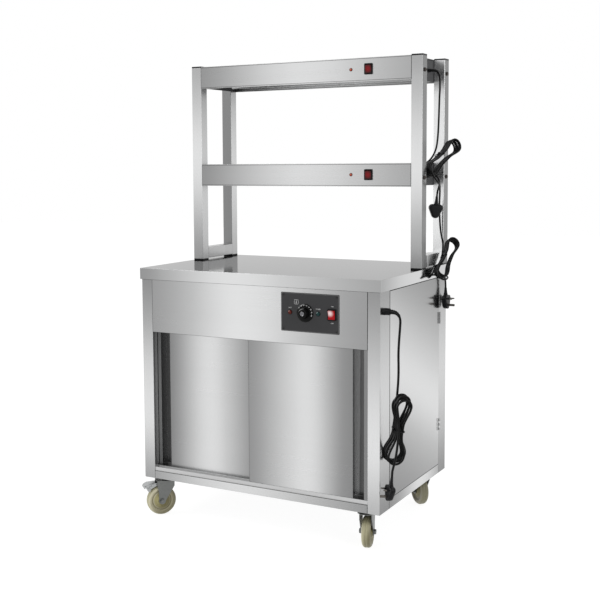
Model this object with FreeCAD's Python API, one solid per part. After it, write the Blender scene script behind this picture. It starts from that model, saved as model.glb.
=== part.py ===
import FreeCAD, Part
import math
import os
from FreeCAD import Vector

# Heated serving trolley: a cabinet on four swivel castors, with two sliding front doors,
# a hinged right side door and a control panel, under a gantry of two heating shelves.
# Millimetres. X to the right, Y to the back, Z up. The origin is on the floor, under the
# middle of the worktop.

# ---------------------------------------------------------------- driving dimensions
# Worktop and cabinet body
top_length = 900.0          # worktop, left to right
top_depth = 600.0           # worktop, front to back
top_height = 870.0          # floor to the worktop's upper face
top_edge = 38.0             # depth of the worktop's turned-down edge
sheet = 1.2                 # thickness of the folded sheets
body_inset = 5.0            # cabinet face behind the worktop's edge
joint_gap = 0.3             # gap between pieces that are fitted beside each other
edge_round = 2.0            # radius of the posts' and the worktop's folded corners

# Corner posts
post_wall = 1.5
post_face = 42.0            # width seen from the front
front_post_depth = 77.0     # deep enough to hold both door tracks
rear_post_depth = 69.0

# Front: fascia, bottom rail and door tracks
fascia_height = 182.0       # below the worktop's edge
fascia_flange = 16.0
fascia_hem = 3.3            # the lower edge is turned back just short of the doors
rail_height = 27.0
rail_depth = 62.0
track_height = 13.0
track_rib = 1.5
track_floor = 2.0
upper_track_height = 16.0

# Sliding doors
front_door_y = -290.0       # front face of the right door, in the front track
door_pitch = 23.0           # from the front track to the back track
door_thickness = 20.0
door_skin = 1.2
door_overlap = 50.0         # the two doors behind each other at the middle
door_behind_fascia = 22.5   # the doors run up behind the fascia
door_play = 1.5             # clearance under and beside a sliding door
recess_flange = 12.0        # front lip between the finger recess and the post
recess_width = 38.0
recess_depth = 34.0
recess_foot = 16.0          # the recess's trough starts above the tracks
recess_head = 20.0

# Right side door and its hinges
side_door_gap = 1.5
side_door_depth = 18.0
side_door_bottom = 166.0
hinge_height = 40.0
hinge_leaf_width = 10.5
hinge_leaf_sheet = 1.2
hinge_barrel_radius = 3.0
hinge_pin_radius = 1.5
hinge_clearance = 0.05
hinge_stand = 0.3           # the barrel stands clear of the door and the post
hinge_knuckle = 8.0
lower_hinge_rise = 175.0    # above the body's lower edge
upper_hinge_drop = 145.5    # below the worktop's edge

# Inside the cabinet
floor_height = 152.0        # upper face of the cabinet's floor
inner_shelf_height = 395.0
inner_shelf_rim = 24.0
bracket_leg = 28.0
bracket_reach = 36.0        # how far a bracket runs under the shelf
bracket_play = 5.0          # behind the back door's finger recess
bracket_sheet = 2.5
element_radius = 4.0
element_length = 620.0
element_spread = 120.0
element_lift = 34.0

# Control panel, measured from the middle of its plate
plate_from_side = 240.0     # the plate's middle, from the cabinet's right face
plate_below_edge = 78.0
plate_width = 205.0
plate_height = 125.0
plate_thickness = 2.0
plate_screw_inset = 8.0
controls_drop = -1.0        # the row of lamps, dial and switch, below the plate's middle
red_lamp_x = -70.0
dial_x = -16.0
green_lamp_x = 30.0
switch_x = 78.0
lamp_radius = 6.0
lamp_head = 3.5
dial_skirt_radius = 29.0
dial_skirt_height = 5.0
dial_knob_radius = 15.0
dial_knob_height = 17.0
dial_lift = 0.5             # the skirt clears the plate
shaft_radius = 3.0
shaft_clearance = 0.05
box_width = 216.0
box_height = 120.0
box_depth = 60.0
switch_width = 30.0
switch_height = 37.0
switch_body_depth = 22.0
switch_rim = 4.0            # the rim stands this far out of the panel
switch_corner = 3.0
switch_case_inset = 2.2     # from the rim's edge to the case behind it
switch_fit = 0.2
rocker_margin = 3.2
rocker_clearance = 0.35
rocker_proud = 3.8          # at the key's ends, with the key level
rocker_valley = 1.6         # the same at its middle
rocker_round = 1.4
rocker_throw = 6.0          # degrees from level to each end of its travel
rocker_pin_radius = 1.5
rocker_pin_depth = 2.2      # behind the panel's face

# Gantry
gantry_tube = 40.0
gantry_wall = 1.5
gantry_front_y = 43.0       # front face of the front posts
gantry_back_y = 294.0       # back face of the rear posts
gantry_height = 711.0       # above the worktop
pad_height = 5.0
cap_height = 5.0
crossbar_bottom = 6.0       # above the worktop
shelf_height = 78.0
mid_shelf_bottom = 276.0    # above the worktop
top_shelf_bottom = 630.0
shelf_lip = 12.0
end_plate_thickness = 2.0
reflector_drop = 10.0
reflector_mouth = 170.0
reflector_crown = 70.0
reflector_rise = 42.0
lamp_tube_radius = 6.0
lamp_tube_length = 340.0
lamp_tube_x = 200.0         # from the shelf's middle to each tube's middle
lamp_end_radius = 9.0
lamp_end_length = 22.0
shelf_switch_from_end = 152.5
shelf_lamp_from_end = 217.5
shelf_lamp_radius = 5.0
shelf_control_rise = 40.0   # above the shelf's lower edge
bolt_radius = 4.0
bolt_head_radius = 7.0
bolt_head_height = 5.0
bolt_rise = 30.0            # above the shelf's lower edge

# Castors
castor_from_side = 65.0     # from the cabinet's side to the castor's swivel
castor_from_front = 47.0    # the same from its front and back
castor_trail = 26.0
wheel_radius = 51.0
wheel_width = 30.0
axle_radius = 5.0
axle_clearance = 0.2
plate_length = 84.0
plate_breadth = 64.0
castor_plate = 3.0
king_radius = 6.0
race_radius = 27.0
race_height = 8.0
swivel_clearance = 0.3
crown_radius = 29.0
fork_sheet = 2.5
fork_gap = 3.2              # between the wheel and each fork arm
swivel_angles = {           # degrees from +X to the side that the wheel trails to
    "front_left": 227.0,
    "front_right": 104.5,
    "rear_left": 118.0,
    "rear_right": 136.0,
}
braked = ("front_left", "front_right")
pedal_width = 44.0
pedal_sheet = 2.5
pedal_pivot_u = 38.0
pedal_pivot_z = 109.0
pedal_pin_radius = 2.5
pedal_reach = 88.0
pedal_neck = 54.0           # the pedal is wide from here outwards
brake_pad_radius = 6.0
brake_gap = 4.5

# Cords, plugs and their clamps
cabinet_cord_diameter = 7.5
shelf_cord_diameter = 6.4
gland_y = -270.0
gland_drop = 99.0           # below the worktop's upper face
gland_radius = 12.0
gland_length = 24.0
gland_thread_radius = 8.0
relief_y = 200.0            # where both shelf cords leave their end plates
relief_length = 10.0
relief_rise = 38.0          # above the shelf's lower edge
plug_width = 46.0
plug_height = 50.0
plug_thickness = 20.0
plug_neck_length = 26.0
pin_pitch = 22.2
earth_drop = 22.2
pin_length = 17.7
earth_length = 22.7

# Hanks: the middle turn's ends, the way the turns are stacked, and the lobes' widths.
# Places on the cords are out from the cabinet's right face, and up from the worktop.
cabinet_hank_low = (37.0, -266.0, -568.0)
cabinet_hank_high = (70.0, -266.0, -356.0)
cabinet_hank_climb = (0.7, -0.7, -0.11)
cabinet_lobe_low = 58.0
cabinet_lobe_high = 26.0
cabinet_waist = 8.2
cabinet_pitch = 8.4
top_hank_low = (-1.0, 108.0, 321.0)
top_hank_high = (38.0, 270.0, 420.0)
top_hank_climb = (0.881, -0.411, 0.237)
top_lobe = 34.0
mid_hank_low = (30.0, 152.0, -27.5)
mid_hank_high = (35.0, 266.0, 83.0)
mid_hank_climb = (0.721, -0.522, 0.455)
mid_lobe = 24.0
shelf_waist = 10.0
shelf_pitch = 7.2
tie_clearance = 0.35
tie_wall = 1.3
tie_width = 4.0
tie_tail = 60.0

# ---------------------------------------------------------------- places worked out
body_x = top_length / 2 - body_inset
body_front = -(top_depth / 2 - body_inset)
body_back = top_depth / 2 - body_inset
castor_x = body_x - castor_from_side
castor_y = body_back - castor_from_front
under_top = top_height - sheet
body_top = top_height - top_edge
body_bottom = 134.0         # height of a castor, floor to its plate's upper face
post_inner = body_x - post_face
front_post_back = body_front + front_post_depth
rear_post_front = body_back - rear_post_depth
fascia_bottom = body_top - fascia_height
rail_top = body_bottom + rail_height
track_base = rail_top + track_floor
back_door_y = front_door_y + door_pitch
door_bottom = track_base + door_play
door_outer = post_inner - door_play
door_height = fascia_bottom + door_behind_fascia - door_bottom
hinge_levels = (body_bottom + lower_hinge_rise, body_top - upper_hinge_drop)
plate_x = body_x - plate_from_side
gantry_x = top_length / 2 - 0.5
gantry_inner = gantry_x - gantry_tube
front_post_end = gantry_front_y + gantry_tube
rear_post_start = gantry_back_y - gantry_tube
gantry_foot = top_height + pad_height
gantry_post_top = top_height + gantry_height - cap_height
plate_z = body_top - plate_below_edge
control_z = plate_z + controls_drop

# ---------------------------------------------------------------- small helpers
solids = {}


def box(x0, x1, y0, y1, z0, z1):
    return Part.makeBox(x1 - x0, y1 - y0, z1 - z0, Vector(x0, y0, z0))


def rod(start, axis, radius, length):
    return Part.makeCylinder(radius, length, Vector(*start), Vector(*axis))


def mirrored(shape):
    """The same piece on the other side of the trolley's middle plane."""
    return shape.mirror(Vector(0, 0, 0), Vector(1, 0, 0))


def moved(shape, x=0.0, y=0.0, z=0.0):
    copy = shape.copy()
    copy.translate(Vector(x, y, z))
    return copy


def turned(shape, degrees, centre=(0, 0, 0), axis=(0, 0, 1)):
    copy = shape.copy()
    copy.rotate(Vector(*centre), Vector(*axis), degrees)
    return copy


def edges_along(shape, axis, at_least=0.0):
    """Straight edges of a shape that run along one axis and are long enough."""
    found = []
    for edge in shape.Edges:
        if not isinstance(edge.Curve, Part.Line):
            continue
        span = edge.lastVertex().Point - edge.firstVertex().Point
        if abs(span.dot(axis)) > 0.999 * span.Length and span.Length > at_least:
            found.append(edge)
    return found


def polygon_prism(points, direction):
    """A closed outline of points, pushed along a direction."""
    outline = Part.makePolygon([Vector(*p) for p in points] + [Vector(*points[0])])
    return Part.Face(outline).extrude(Vector(*direction))


def strip(outline, thickness, place, direction):
    """A sheet folded along an open outline of (a, b) points, to the outline's left."""
    points = [Vector(a, b, 0) for a, b in outline]
    offset = []
    for index, point in enumerate(points):
        before = (point - points[index - 1]).normalize() if index else None
        after = (points[index + 1] - point).normalize() if index < len(points) - 1 else None
        if before is None:
            before = after
        if after is None:
            after = before
        side_a = Vector(-before.y, before.x, 0)
        side_b = Vector(-after.y, after.x, 0)
        miter = (side_a + side_b).normalize()
        offset.append(point + miter * (thickness / miter.dot(side_a)))
    around = points + list(reversed(offset))
    return polygon_prism([place(p.x, p.y) for p in around], direction)


def square_tube(x0, x1, y0, y1, z0, z1, wall, rounding):
    """A tube along Z with rounded outer corners and a square bore."""
    outer = box(x0, x1, y0, y1, z0, z1)
    outer = outer.makeFillet(rounding, edges_along(outer, Vector(0, 0, 1)))
    return outer.cut(box(x0 + wall, x1 - wall, y0 + wall, y1 - wall, z0 - 1, z1 + 1))


def store(name, *pieces):
    solids[name] = Part.makeCompound(list(pieces)) if len(pieces) > 1 else pieces[0]


# ---------------------------------------------------------------- worktop and frame
def worktop():
    x, y = top_length / 2, top_depth / 2
    pan = box(-x, x, -y, y, body_top, top_height)
    pan = pan.makeFillet(edge_round, edges_along(pan, Vector(0, 0, 1)))
    hollow = box(-x + sheet, x - sheet, -y + sheet, y - sheet, body_top - 1, under_top)
    return pan.cut(hollow)


def corner_post(depth_start, depth_end):
    return square_tube(post_inner, body_x, depth_start, depth_end,
                       body_bottom, under_top, post_wall, edge_round)


store("worktop", worktop())
front_post = corner_post(body_front, front_post_back)
rear_post = corner_post(rear_post_front, body_back)
gland_height = top_height - gland_drop
gland_hole = rod((body_x - 10, gland_y, gland_height), (1, 0, 0), gland_thread_radius, 20)
store("front_right_post", front_post.cut(gland_hole))
store("front_left_post", mirrored(front_post))
store("rear_right_post", rear_post)
store("rear_left_post", mirrored(rear_post))

# ---------------------------------------------------------------- fascia and control panel
fascia_x = post_inner - joint_gap
plate_left = plate_x - plate_width / 2
plate_right = plate_x + plate_width / 2
fascia_back = body_front + sheet


def through_front(x, z, radius):
    """A round hole through the fascia and the control plate."""
    return rod((x, body_front - 20, z), (0, 1, 0), radius, 40)


lamp_hole = lamp_radius + 0.2
switch_hole_width = switch_width - 2 * (switch_case_inset - switch_fit)
switch_hole_height = switch_height - 2 * (switch_case_inset - switch_fit)
switch_hole = box(plate_x + switch_x - switch_hole_width / 2, plate_x + switch_x + switch_hole_width / 2,
                  body_front - 20, body_front + 20,
                  control_z - switch_hole_height / 2, control_z + switch_hole_height / 2)
panel_holes = [
    through_front(plate_x + red_lamp_x, control_z, lamp_hole),
    through_front(plate_x + green_lamp_x, control_z, lamp_hole),
    through_front(plate_x + dial_x, control_z, shaft_radius + 1.5),
    switch_hole,
]


def fascia():
    """The front sheet with its lower and upper edges turned back."""
    outline = [(body_front + fascia_flange, under_top), (body_front, under_top),
               (body_front, fascia_bottom), (body_front + fascia_hem, fascia_bottom)]
    place = lambda y, z: (-fascia_x, y, z)
    face = strip(outline, sheet, place, (2 * fascia_x, 0, 0))
    for hole in panel_holes:
        face = face.cut(hole)
    return face


def control_plate():
    z0 = plate_z - plate_height / 2
    plate = box(plate_left, plate_right, body_front - plate_thickness, body_front, z0, z0 + plate_height)
    plate = plate.makeFillet(edge_round, edges_along(plate, Vector(0, 1, 0)))
    for hole in panel_holes:
        plate = plate.cut(hole)
    return plate


def plate_screws():
    """Four pan-head screws at the plate's corners."""
    screws = []
    for x in (plate_left + plate_screw_inset, plate_right - plate_screw_inset):
        for z in (plate_z - plate_height / 2 + plate_screw_inset,
                  plate_z + plate_height / 2 - plate_screw_inset):
            head = rod((x, body_front - plate_thickness - 1.6, z), (0, 1, 0), 3.2, 1.6)
            screws.append(head.makeChamfer(0.8, [head.Edges[0]]))
    return screws


store("fascia", fascia())
store("control_plate", control_plate())


def control_box():
    """A box open to the front, which covers the electrical parts behind the fascia."""
    z0 = plate_z - box_height / 2
    y0, y1 = fascia_back, fascia_back + box_depth
    x0, x1 = plate_x - box_width / 2, plate_x + box_width / 2
    shell = box(x0, x1, y0, y1, z0, z0 + box_height)
    return shell.cut(box(x0 + sheet, x1 - sheet, y0 - 1, y1 - sheet, z0 + sheet, z0 + box_height - sheet))


def thermostat_body():
    """The thermostat behind the fascia, with the bore that its spindle turns in."""
    x = plate_x + dial_x
    case = box(x - 20, x + 20, fascia_back, fascia_back + 30, control_z - 17, control_z + 17)
    bush = rod((x, fascia_back + 30, control_z), (0, 1, 0), 9, 8)
    bore = rod((x, fascia_back - 1, control_z), (0, 1, 0), shaft_radius + shaft_clearance, 26)
    return case.fuse(bush).cut(bore)


def dial():
    """Skirt, gripped knob with a raised cap, and the spindle behind them."""
    x = plate_x + dial_x
    y = body_front - plate_thickness - dial_lift
    skirt = Part.makeCone(dial_skirt_radius, dial_skirt_radius - 4, dial_skirt_height,
                          Vector(x, y, control_z), Vector(0, -1, 0))
    knob = rod((x, y - dial_skirt_height, control_z), (0, -1, 0), dial_knob_radius, dial_knob_height)
    cap = rod((x, y - dial_skirt_height - dial_knob_height, control_z), (0, -1, 0),
              dial_knob_radius - 3, 1.2)
    knob = knob.fuse(cap)
    flutes = 12
    for index in range(flutes):
        angle = 2 * math.pi * (index + 0.5) / flutes
        fx = x + (dial_knob_radius + 2.2) * math.cos(angle)
        fz = control_z + (dial_knob_radius + 2.2) * math.sin(angle)
        groove = rod((fx, y - dial_skirt_height, fz), (0, -1, 0), 3.4, dial_knob_height + 2)
        knob = knob.cut(groove)
    spindle = rod((x, fascia_back + 22, control_z), (0, -1, 0), shaft_radius,
                  fascia_back + 22 - y)
    return skirt.fuse([knob, spindle])


def panel_lamp(x, y, z, radius, head, body_length):
    """A lamp with a domed lens in front of the sheet and its body behind it."""
    collar = rod((x, y, z), (0, -1, 0), radius + 1.2, 1.2)
    lens = rod((x, y - 1.2, z), (0, -1, 0), radius, head - 1.2)
    lens = lens.makeFillet(1.2, [edge for edge in lens.Edges
                                 if isinstance(edge.Curve, Part.Circle)
                                 and edge.Curve.Center.y < y - head + 0.1])
    body = rod((x, y, z), (0, 1, 0), radius, body_length)
    return collar.fuse([lens, body])


def switch_housing(x, y, z):
    """The frame of a rocker switch: a rim in front, a case behind and the well between."""
    w, h = switch_width / 2, switch_height / 2
    front = y - switch_rim
    rim = box(x - w, x + w, front, y, z - h, z + h)
    rim = rim.makeFillet(switch_corner, edges_along(rim, Vector(0, 1, 0)))
    rim = rim.makeChamfer(0.8, [e for e in rim.Edges if e.BoundBox.YMax < front + 0.01])
    cw, ch = w - switch_case_inset, h - switch_case_inset
    case = box(x - cw, x + cw, y, y + switch_body_depth, z - ch, z + ch)
    ww, wh = w - rocker_margin, h - rocker_margin
    well = box(x - ww, x + ww, front - 1, y + 12, z - wh, z + wh)
    bore = rod((x - cw + 0.1, y + rocker_pin_depth, z), (1, 0, 0),
               rocker_pin_radius + shaft_clearance, 2 * cw - 0.2)
    return rim.fuse(case).cut(well).cut(bore)


def rocker_key(x, y, z):
    """The key of a rocker switch, which tips on a pin across the well.

    Its front is a shallow hollow between two proud ends, and the ends draw in towards
    the front so that they clear the well over the whole throw. At rest its lower end is
    pressed in.
    """
    w = switch_width / 2 - rocker_margin - rocker_clearance
    h = switch_height / 2 - rocker_margin - rocker_clearance
    pin_y = y + rocker_pin_depth
    end_y = y - switch_rim - rocker_proud
    end_h = h - (pin_y - end_y) * math.tan(math.radians(rocker_throw + 1.5))
    low, high = Vector(x - w, end_y, z - end_h), Vector(x - w, end_y, z + end_h)
    valley = Vector(x - w, y - switch_rim - rocker_valley, z)
    back = [(pin_y + 1.2, h), (pin_y + 5.5, 4.0), (pin_y + 5.5, -4.0), (pin_y + 1.2, -h)]
    corners = [high] + [Vector(x - w, a, z + b) for a, b in back] + [low]
    edges = [Part.Arc(low, valley, high).toShape()]
    edges += [Part.LineSegment(a, b).toShape() for a, b in zip(corners, corners[1:])]
    key = Part.Face(Part.Wire(edges)).extrude(Vector(2 * w, 0, 0))
    key = key.makeFillet(rocker_round, [e for e in key.Edges if e.BoundBox.YMax < y - switch_rim])
    pin_half = switch_width / 2 - switch_case_inset - 0.2
    key = key.fuse(rod((x - pin_half, pin_y, z), (1, 0, 0), rocker_pin_radius, 2 * pin_half))
    return turned(key, rocker_throw, (x, pin_y, z), (1, 0, 0))


panel_y = body_front - plate_thickness
store("control_box", control_box())
store("thermostat_body", thermostat_body())
store("thermostat_dial", dial())
red_lamp = panel_lamp(plate_x + red_lamp_x, panel_y, control_z, lamp_radius, lamp_head, 24)
store("green_lamp", panel_lamp(plate_x + green_lamp_x, panel_y, control_z, lamp_radius, lamp_head, 24))
store("cabinet_rocker", rocker_key(plate_x + switch_x, panel_y, control_z))

# ---------------------------------------------------------------- bottom rail and door tracks
rail_front = body_front + joint_gap
track_front = rail_front + 2.5
rib_middle = (front_door_y + door_thickness + back_door_y) / 2


def bottom_rail():
    """The folded front rail, open to the back."""
    outline = [(rail_front + rail_depth, rail_top), (rail_front, rail_top),
               (rail_front, body_bottom), (rail_front + rail_depth, body_bottom)]
    place = lambda y, z: (-fascia_x, y, z)
    return strip(outline, sheet, place, (2 * fascia_x, 0, 0))


def lower_track():
    """Two door channels side by side, with a rib at each side and one between them."""
    back = back_door_y + door_thickness + door_play + track_rib
    base = box(-fascia_x, fascia_x, track_front, back, rail_top, track_base)
    ribs = [(track_front, track_front + track_rib),
            (rib_middle - track_rib / 2, rib_middle + track_rib / 2),
            (back - track_rib, back)]
    for y0, y1 in ribs:
        base = base.fuse(box(-fascia_x, fascia_x, y0, y1, rail_top, rail_top + track_height))
    return base.removeSplitter()


def upper_track():
    """The same pair of channels, turned over above the doors."""
    back = back_door_y + door_thickness + door_play + track_rib
    front = track_front
    top = door_bottom + door_height + door_play + track_floor
    base = box(-fascia_x, fascia_x, front, back, top - track_floor, top)
    ribs = [(front, front + track_rib),
            (rib_middle - track_rib / 2, rib_middle + track_rib / 2),
            (back - track_rib, back)]
    for y0, y1 in ribs:
        base = base.fuse(box(-fascia_x, fascia_x, y0, y1, top - upper_track_height, top))
    return base.removeSplitter()


store("bottom_rail", bottom_rail())
store("door_tracks", lower_track(), upper_track())


# ---------------------------------------------------------------- sliding doors
def sliding_door(front_y, outer_x, inner_x):
    """A folded door and the full-height finger recess that is set in beside its outer edge.

    outer_x is the edge beside the corner post and inner_x the edge behind or in front of
    the other door; outer_x is the larger of the two.
    """
    z0, z1 = door_bottom, door_bottom + door_height
    pocket_left = outer_x - recess_flange - recess_width
    shell = box(inner_x, outer_x, front_y, front_y + door_thickness, z0, z1)
    hollow = box(inner_x + door_skin, pocket_left - door_skin, front_y + door_skin,
                 front_y + door_thickness + 1, z0 + door_skin, z1 - door_skin)
    trough = box(pocket_left - door_skin, outer_x - recess_flange + door_skin,
                 front_y, front_y + recess_depth, z0 + recess_foot, z1 - recess_head)
    trough_hollow = box(pocket_left, outer_x - recess_flange, front_y - 1,
                        front_y + recess_depth - door_skin, z0 - 1, z1 + 1)
    flange_hollow = box(outer_x - recess_flange + door_skin, outer_x - door_skin,
                        front_y + door_skin, front_y + door_thickness + 1,
                        z0 + door_skin, z1 - door_skin)
    end_webs = [box(pocket_left, outer_x - recess_flange, front_y + door_thickness - door_skin,
                    front_y + door_thickness, z0, z0 + recess_foot),
                box(pocket_left, outer_x - recess_flange, front_y + door_thickness - door_skin,
                    front_y + door_thickness, z1 - recess_head, z1)]
    floor = box(pocket_left, outer_x - recess_flange, front_y + door_thickness - door_skin,
                front_y + recess_depth, z0 + recess_foot, z0 + recess_foot + door_skin)
    roof = box(pocket_left, outer_x - recess_flange, front_y + door_thickness - door_skin,
               front_y + recess_depth, z1 - recess_head - door_skin, z1 - recess_head)
    pan = shell.cut(hollow).cut(flange_hollow).cut(trough_hollow).fuse(end_webs).cut(trough)
    recess = trough.cut(trough_hollow).fuse([floor, roof])
    return [pan.removeSplitter(), recess.removeSplitter()]


right_door = sliding_door(front_door_y, door_outer, -door_overlap / 2)
left_door = [mirrored(piece) for piece in sliding_door(back_door_y, door_outer, -door_overlap / 2)]
store("right_sliding_door", *right_door)
store("left_sliding_door", *left_door)

# ---------------------------------------------------------------- sides, back, floor, inner shelf
panel_front = front_post_back + joint_gap
panel_back = rear_post_front - joint_gap


def left_panel():
    """A fixed panel between the left posts, its edges turned in."""
    x0 = -body_x
    pan = box(x0, x0 + side_door_depth, panel_front, panel_back, body_bottom, under_top)
    return pan.cut(box(x0 + sheet, x0 + side_door_depth + 1, panel_front + sheet, panel_back - sheet,
                       body_bottom + sheet, under_top - sheet))


def side_rail(bottom, top):
    """A channel between the right posts, open to the inside."""
    rail = box(body_x - side_door_depth, body_x, panel_front, panel_back, bottom, top)
    return rail.cut(box(body_x - side_door_depth - 1, body_x - sheet, panel_front - 1, panel_back + 1,
                        bottom + sheet, top - sheet))


def back_panel():
    """The rear sheet, with its edges turned in towards the cabinet."""
    pan = box(-fascia_x, fascia_x, body_back - 16, body_back, body_bottom, under_top)
    return pan.cut(box(-fascia_x + sheet, fascia_x - sheet, body_back - 17, body_back - sheet,
                       body_bottom + sheet, under_top - sheet))


floor_front = rail_front + rail_depth + joint_gap
floor_back = body_back - 16 - joint_gap


def cabinet_floor():
    """The floor pan: a raised sheet with its rims turned down to the posts' foot."""
    x = post_inner - joint_gap
    pan = box(-x, x, floor_front, floor_back, body_bottom, floor_height)
    return pan.cut(box(-x + sheet, x - sheet, floor_front + sheet, floor_back - sheet,
                       body_bottom - 1, floor_height - sheet))


shelf_front = front_post_back + 12
shelf_x = post_inner - joint_gap


def inner_shelf():
    """The loose shelf, with its rims turned down all round."""
    pan = box(-shelf_x, shelf_x, shelf_front, floor_back,
              inner_shelf_height - inner_shelf_rim, inner_shelf_height)
    return pan.cut(box(-shelf_x + sheet, shelf_x - sheet, shelf_front + sheet, floor_back - sheet,
                       inner_shelf_height - inner_shelf_rim - 1, inner_shelf_height - sheet))


def shelf_bracket(y0, y1):
    """An angle on a post's inner face, which carries a corner of the shelf."""
    z1 = inner_shelf_height - inner_shelf_rim
    outline = [(post_inner, z1 - bracket_leg), (post_inner, z1), (post_inner - bracket_leg, z1),
               (post_inner - bracket_leg, z1 - bracket_sheet),
               (post_inner - bracket_sheet, z1 - bracket_sheet),
               (post_inner - bracket_sheet, z1 - bracket_leg)]
    return polygon_prism([(a, y0, b) for a, b in outline], (0, y1 - y0, 0))


def heating_element():
    """A tubular element bent into a long U, held above the floor by two clamps."""
    z = floor_height + element_lift
    half, reach = element_spread / 2, element_length / 2
    bend = half - 10
    y = 120.0
    path = [Part.LineSegment(Vector(reach, y - half, z), Vector(-reach + bend, y - half, z)).toShape(),
            Part.Arc(Vector(-reach + bend, y - half, z), Vector(-reach + bend - half, y, z),
                     Vector(-reach + bend, y + half, z)).toShape(),
            Part.LineSegment(Vector(-reach + bend, y + half, z), Vector(reach, y + half, z)).toShape()]
    ring = Part.Wire(Part.makeCircle(element_radius, Vector(reach, y - half, z), Vector(1, 0, 0)))
    tube = Part.Wire(path).makePipeShell([ring], True, False)
    clamps = []
    for x in (-reach * 0.55, reach * 0.75):
        block = box(x - 8, x + 8, y - half - 9, y + half + 9, floor_height, z + element_radius + 2)
        block = block.cut(box(x - 9, x + 9, y - half + 9, y + half - 9, floor_height + 2, z + 20))
        for side in (-half, half):
            block = block.cut(rod((x - 9, y + side, z), (1, 0, 0), element_radius + joint_gap, 18))
        clamps.append(block)
    return [tube] + clamps


store("left_panel", left_panel())
store("side_rails", side_rail(body_bottom, side_door_bottom - side_door_gap),
      side_rail(body_top - 2, under_top))
store("back_panel", back_panel())
store("cabinet_floor", cabinet_floor())
store("inner_shelf", inner_shelf())
bracket_front = shelf_bracket(back_door_y + recess_depth + bracket_play, shelf_front + bracket_reach)
bracket_back = shelf_bracket(rear_post_front, rear_post_front + bracket_reach)
store("shelf_brackets", bracket_front, mirrored(bracket_front), bracket_back, mirrored(bracket_back))
store("heating_element", *heating_element())

# ---------------------------------------------------------------- right side door
hinge_x = body_x + hinge_stand + hinge_barrel_radius
hinge_y = rear_post_front - side_door_gap / 2
door_y0 = front_post_back + side_door_gap
door_y1 = rear_post_front - side_door_gap
door_z0 = side_door_bottom
door_z1 = body_top - 2 - side_door_gap


def leaf_and_knuckles(level, side, which):
    """One leaf of a butt hinge, with every second knuckle of the barrel."""
    z0 = level - hinge_height / 2
    count = int(round(hinge_height / hinge_knuckle))
    inner = hinge_y + side * (side_door_gap / 2)
    outer = hinge_y + side * hinge_leaf_width
    y0, y1 = min(inner, outer), max(inner, outer)
    leaf = box(body_x, body_x + hinge_leaf_sheet, y0, y1, z0, z0 + hinge_height)
    barrel = None
    for index in range(count):
        knuckle_z = z0 + index * hinge_height / count
        if index % 2 == which:
            ring = rod((hinge_x, hinge_y, knuckle_z + 0.1), (0, 0, 1), hinge_barrel_radius,
                       hinge_height / count - 0.2)
            web = box(body_x, body_x + hinge_leaf_sheet, min(inner, hinge_y), max(inner, hinge_y),
                      knuckle_z + 0.1, knuckle_z + hinge_height / count - 0.1)
            barrel = ring.fuse(web) if barrel is None else barrel.fuse([ring, web])
        else:
            room = rod((hinge_x, hinge_y, knuckle_z - 0.1), (0, 0, 1), hinge_barrel_radius + 0.3,
                       hinge_height / count + 0.2)
            leaf = leaf.cut(room)
    return leaf.fuse(barrel)


def side_door():
    """The door pan with its edges turned in, and the hinges' leaves on it."""
    pan = box(body_x - side_door_depth, body_x, door_y0, door_y1, door_z0, door_z1)
    pan = pan.cut(box(body_x - side_door_depth - 1, body_x - sheet, door_y0 + sheet, door_y1 - sheet,
                      door_z0 + sheet, door_z1 - sheet))
    leaves = []
    for level in hinge_levels:
        leaf = leaf_and_knuckles(level, -1, 1)
        bore = rod((hinge_x, hinge_y, level - hinge_height), (0, 0, 1),
                   hinge_pin_radius + hinge_clearance, 2 * hinge_height)
        leaves.append(leaf.cut(bore))
    return [pan] + leaves


def fixed_hinges():
    """The leaves on the rear post, each in one with its pin."""
    pieces = []
    for level in hinge_levels:
        leaf = leaf_and_knuckles(level, 1, 0)
        pin = rod((hinge_x, hinge_y, level - hinge_height / 2), (0, 0, 1), hinge_pin_radius, hinge_height)
        pieces.append(leaf.fuse(pin))
    return pieces


store("side_door", *side_door())
store("fixed_hinges", *fixed_hinges())


# ---------------------------------------------------------------- gantry
def gantry_side():
    """Two square posts and the crossbar that is welded between their feet."""
    pieces = []
    for y0 in (gantry_front_y, rear_post_start):
        pieces.append(square_tube(gantry_inner, gantry_x, y0, y0 + gantry_tube,
                                  gantry_foot, gantry_post_top, gantry_wall, edge_round))
    bar = box(gantry_inner, gantry_x, front_post_end, rear_post_start,
              top_height + crossbar_bottom, top_height + crossbar_bottom + gantry_tube)
    bar = bar.makeFillet(edge_round, edges_along(bar, Vector(0, 1, 0)))
    bore = box(gantry_inner + gantry_wall, gantry_x - gantry_wall, front_post_end - 1, rear_post_start + 1,
               top_height + crossbar_bottom + gantry_wall,
               top_height + crossbar_bottom + gantry_tube - gantry_wall)
    return pieces + [bar.cut(bore)]


def end_plug(y0, z0, height, direction):
    """A black end piece of a post: a plate with a stub in the tube's bore."""
    plate = box(gantry_inner, gantry_x, y0, y0 + gantry_tube, z0, z0 + height)
    plate = plate.makeFillet(edge_round, edges_along(plate, Vector(0, 0, 1)))
    inset = gantry_wall + joint_gap
    stub_z = z0 + height if direction > 0 else z0 - 12
    stub = box(gantry_inner + inset, gantry_x - inset, y0 + inset, y0 + gantry_tube - inset,
               stub_z, stub_z + 12)
    return plate.fuse(stub)


right_side = gantry_side()
store("gantry_side_right", *right_side)
store("gantry_side_left", *[mirrored(piece) for piece in right_side])
plugs = []
for start in (gantry_front_y, rear_post_start):
    plugs.append(end_plug(start, top_height, pad_height, 1))
    plugs.append(end_plug(start, gantry_post_top, cap_height, -1))
store("post_end_plugs", *(plugs + [mirrored(plug) for plug in plugs]))

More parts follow.
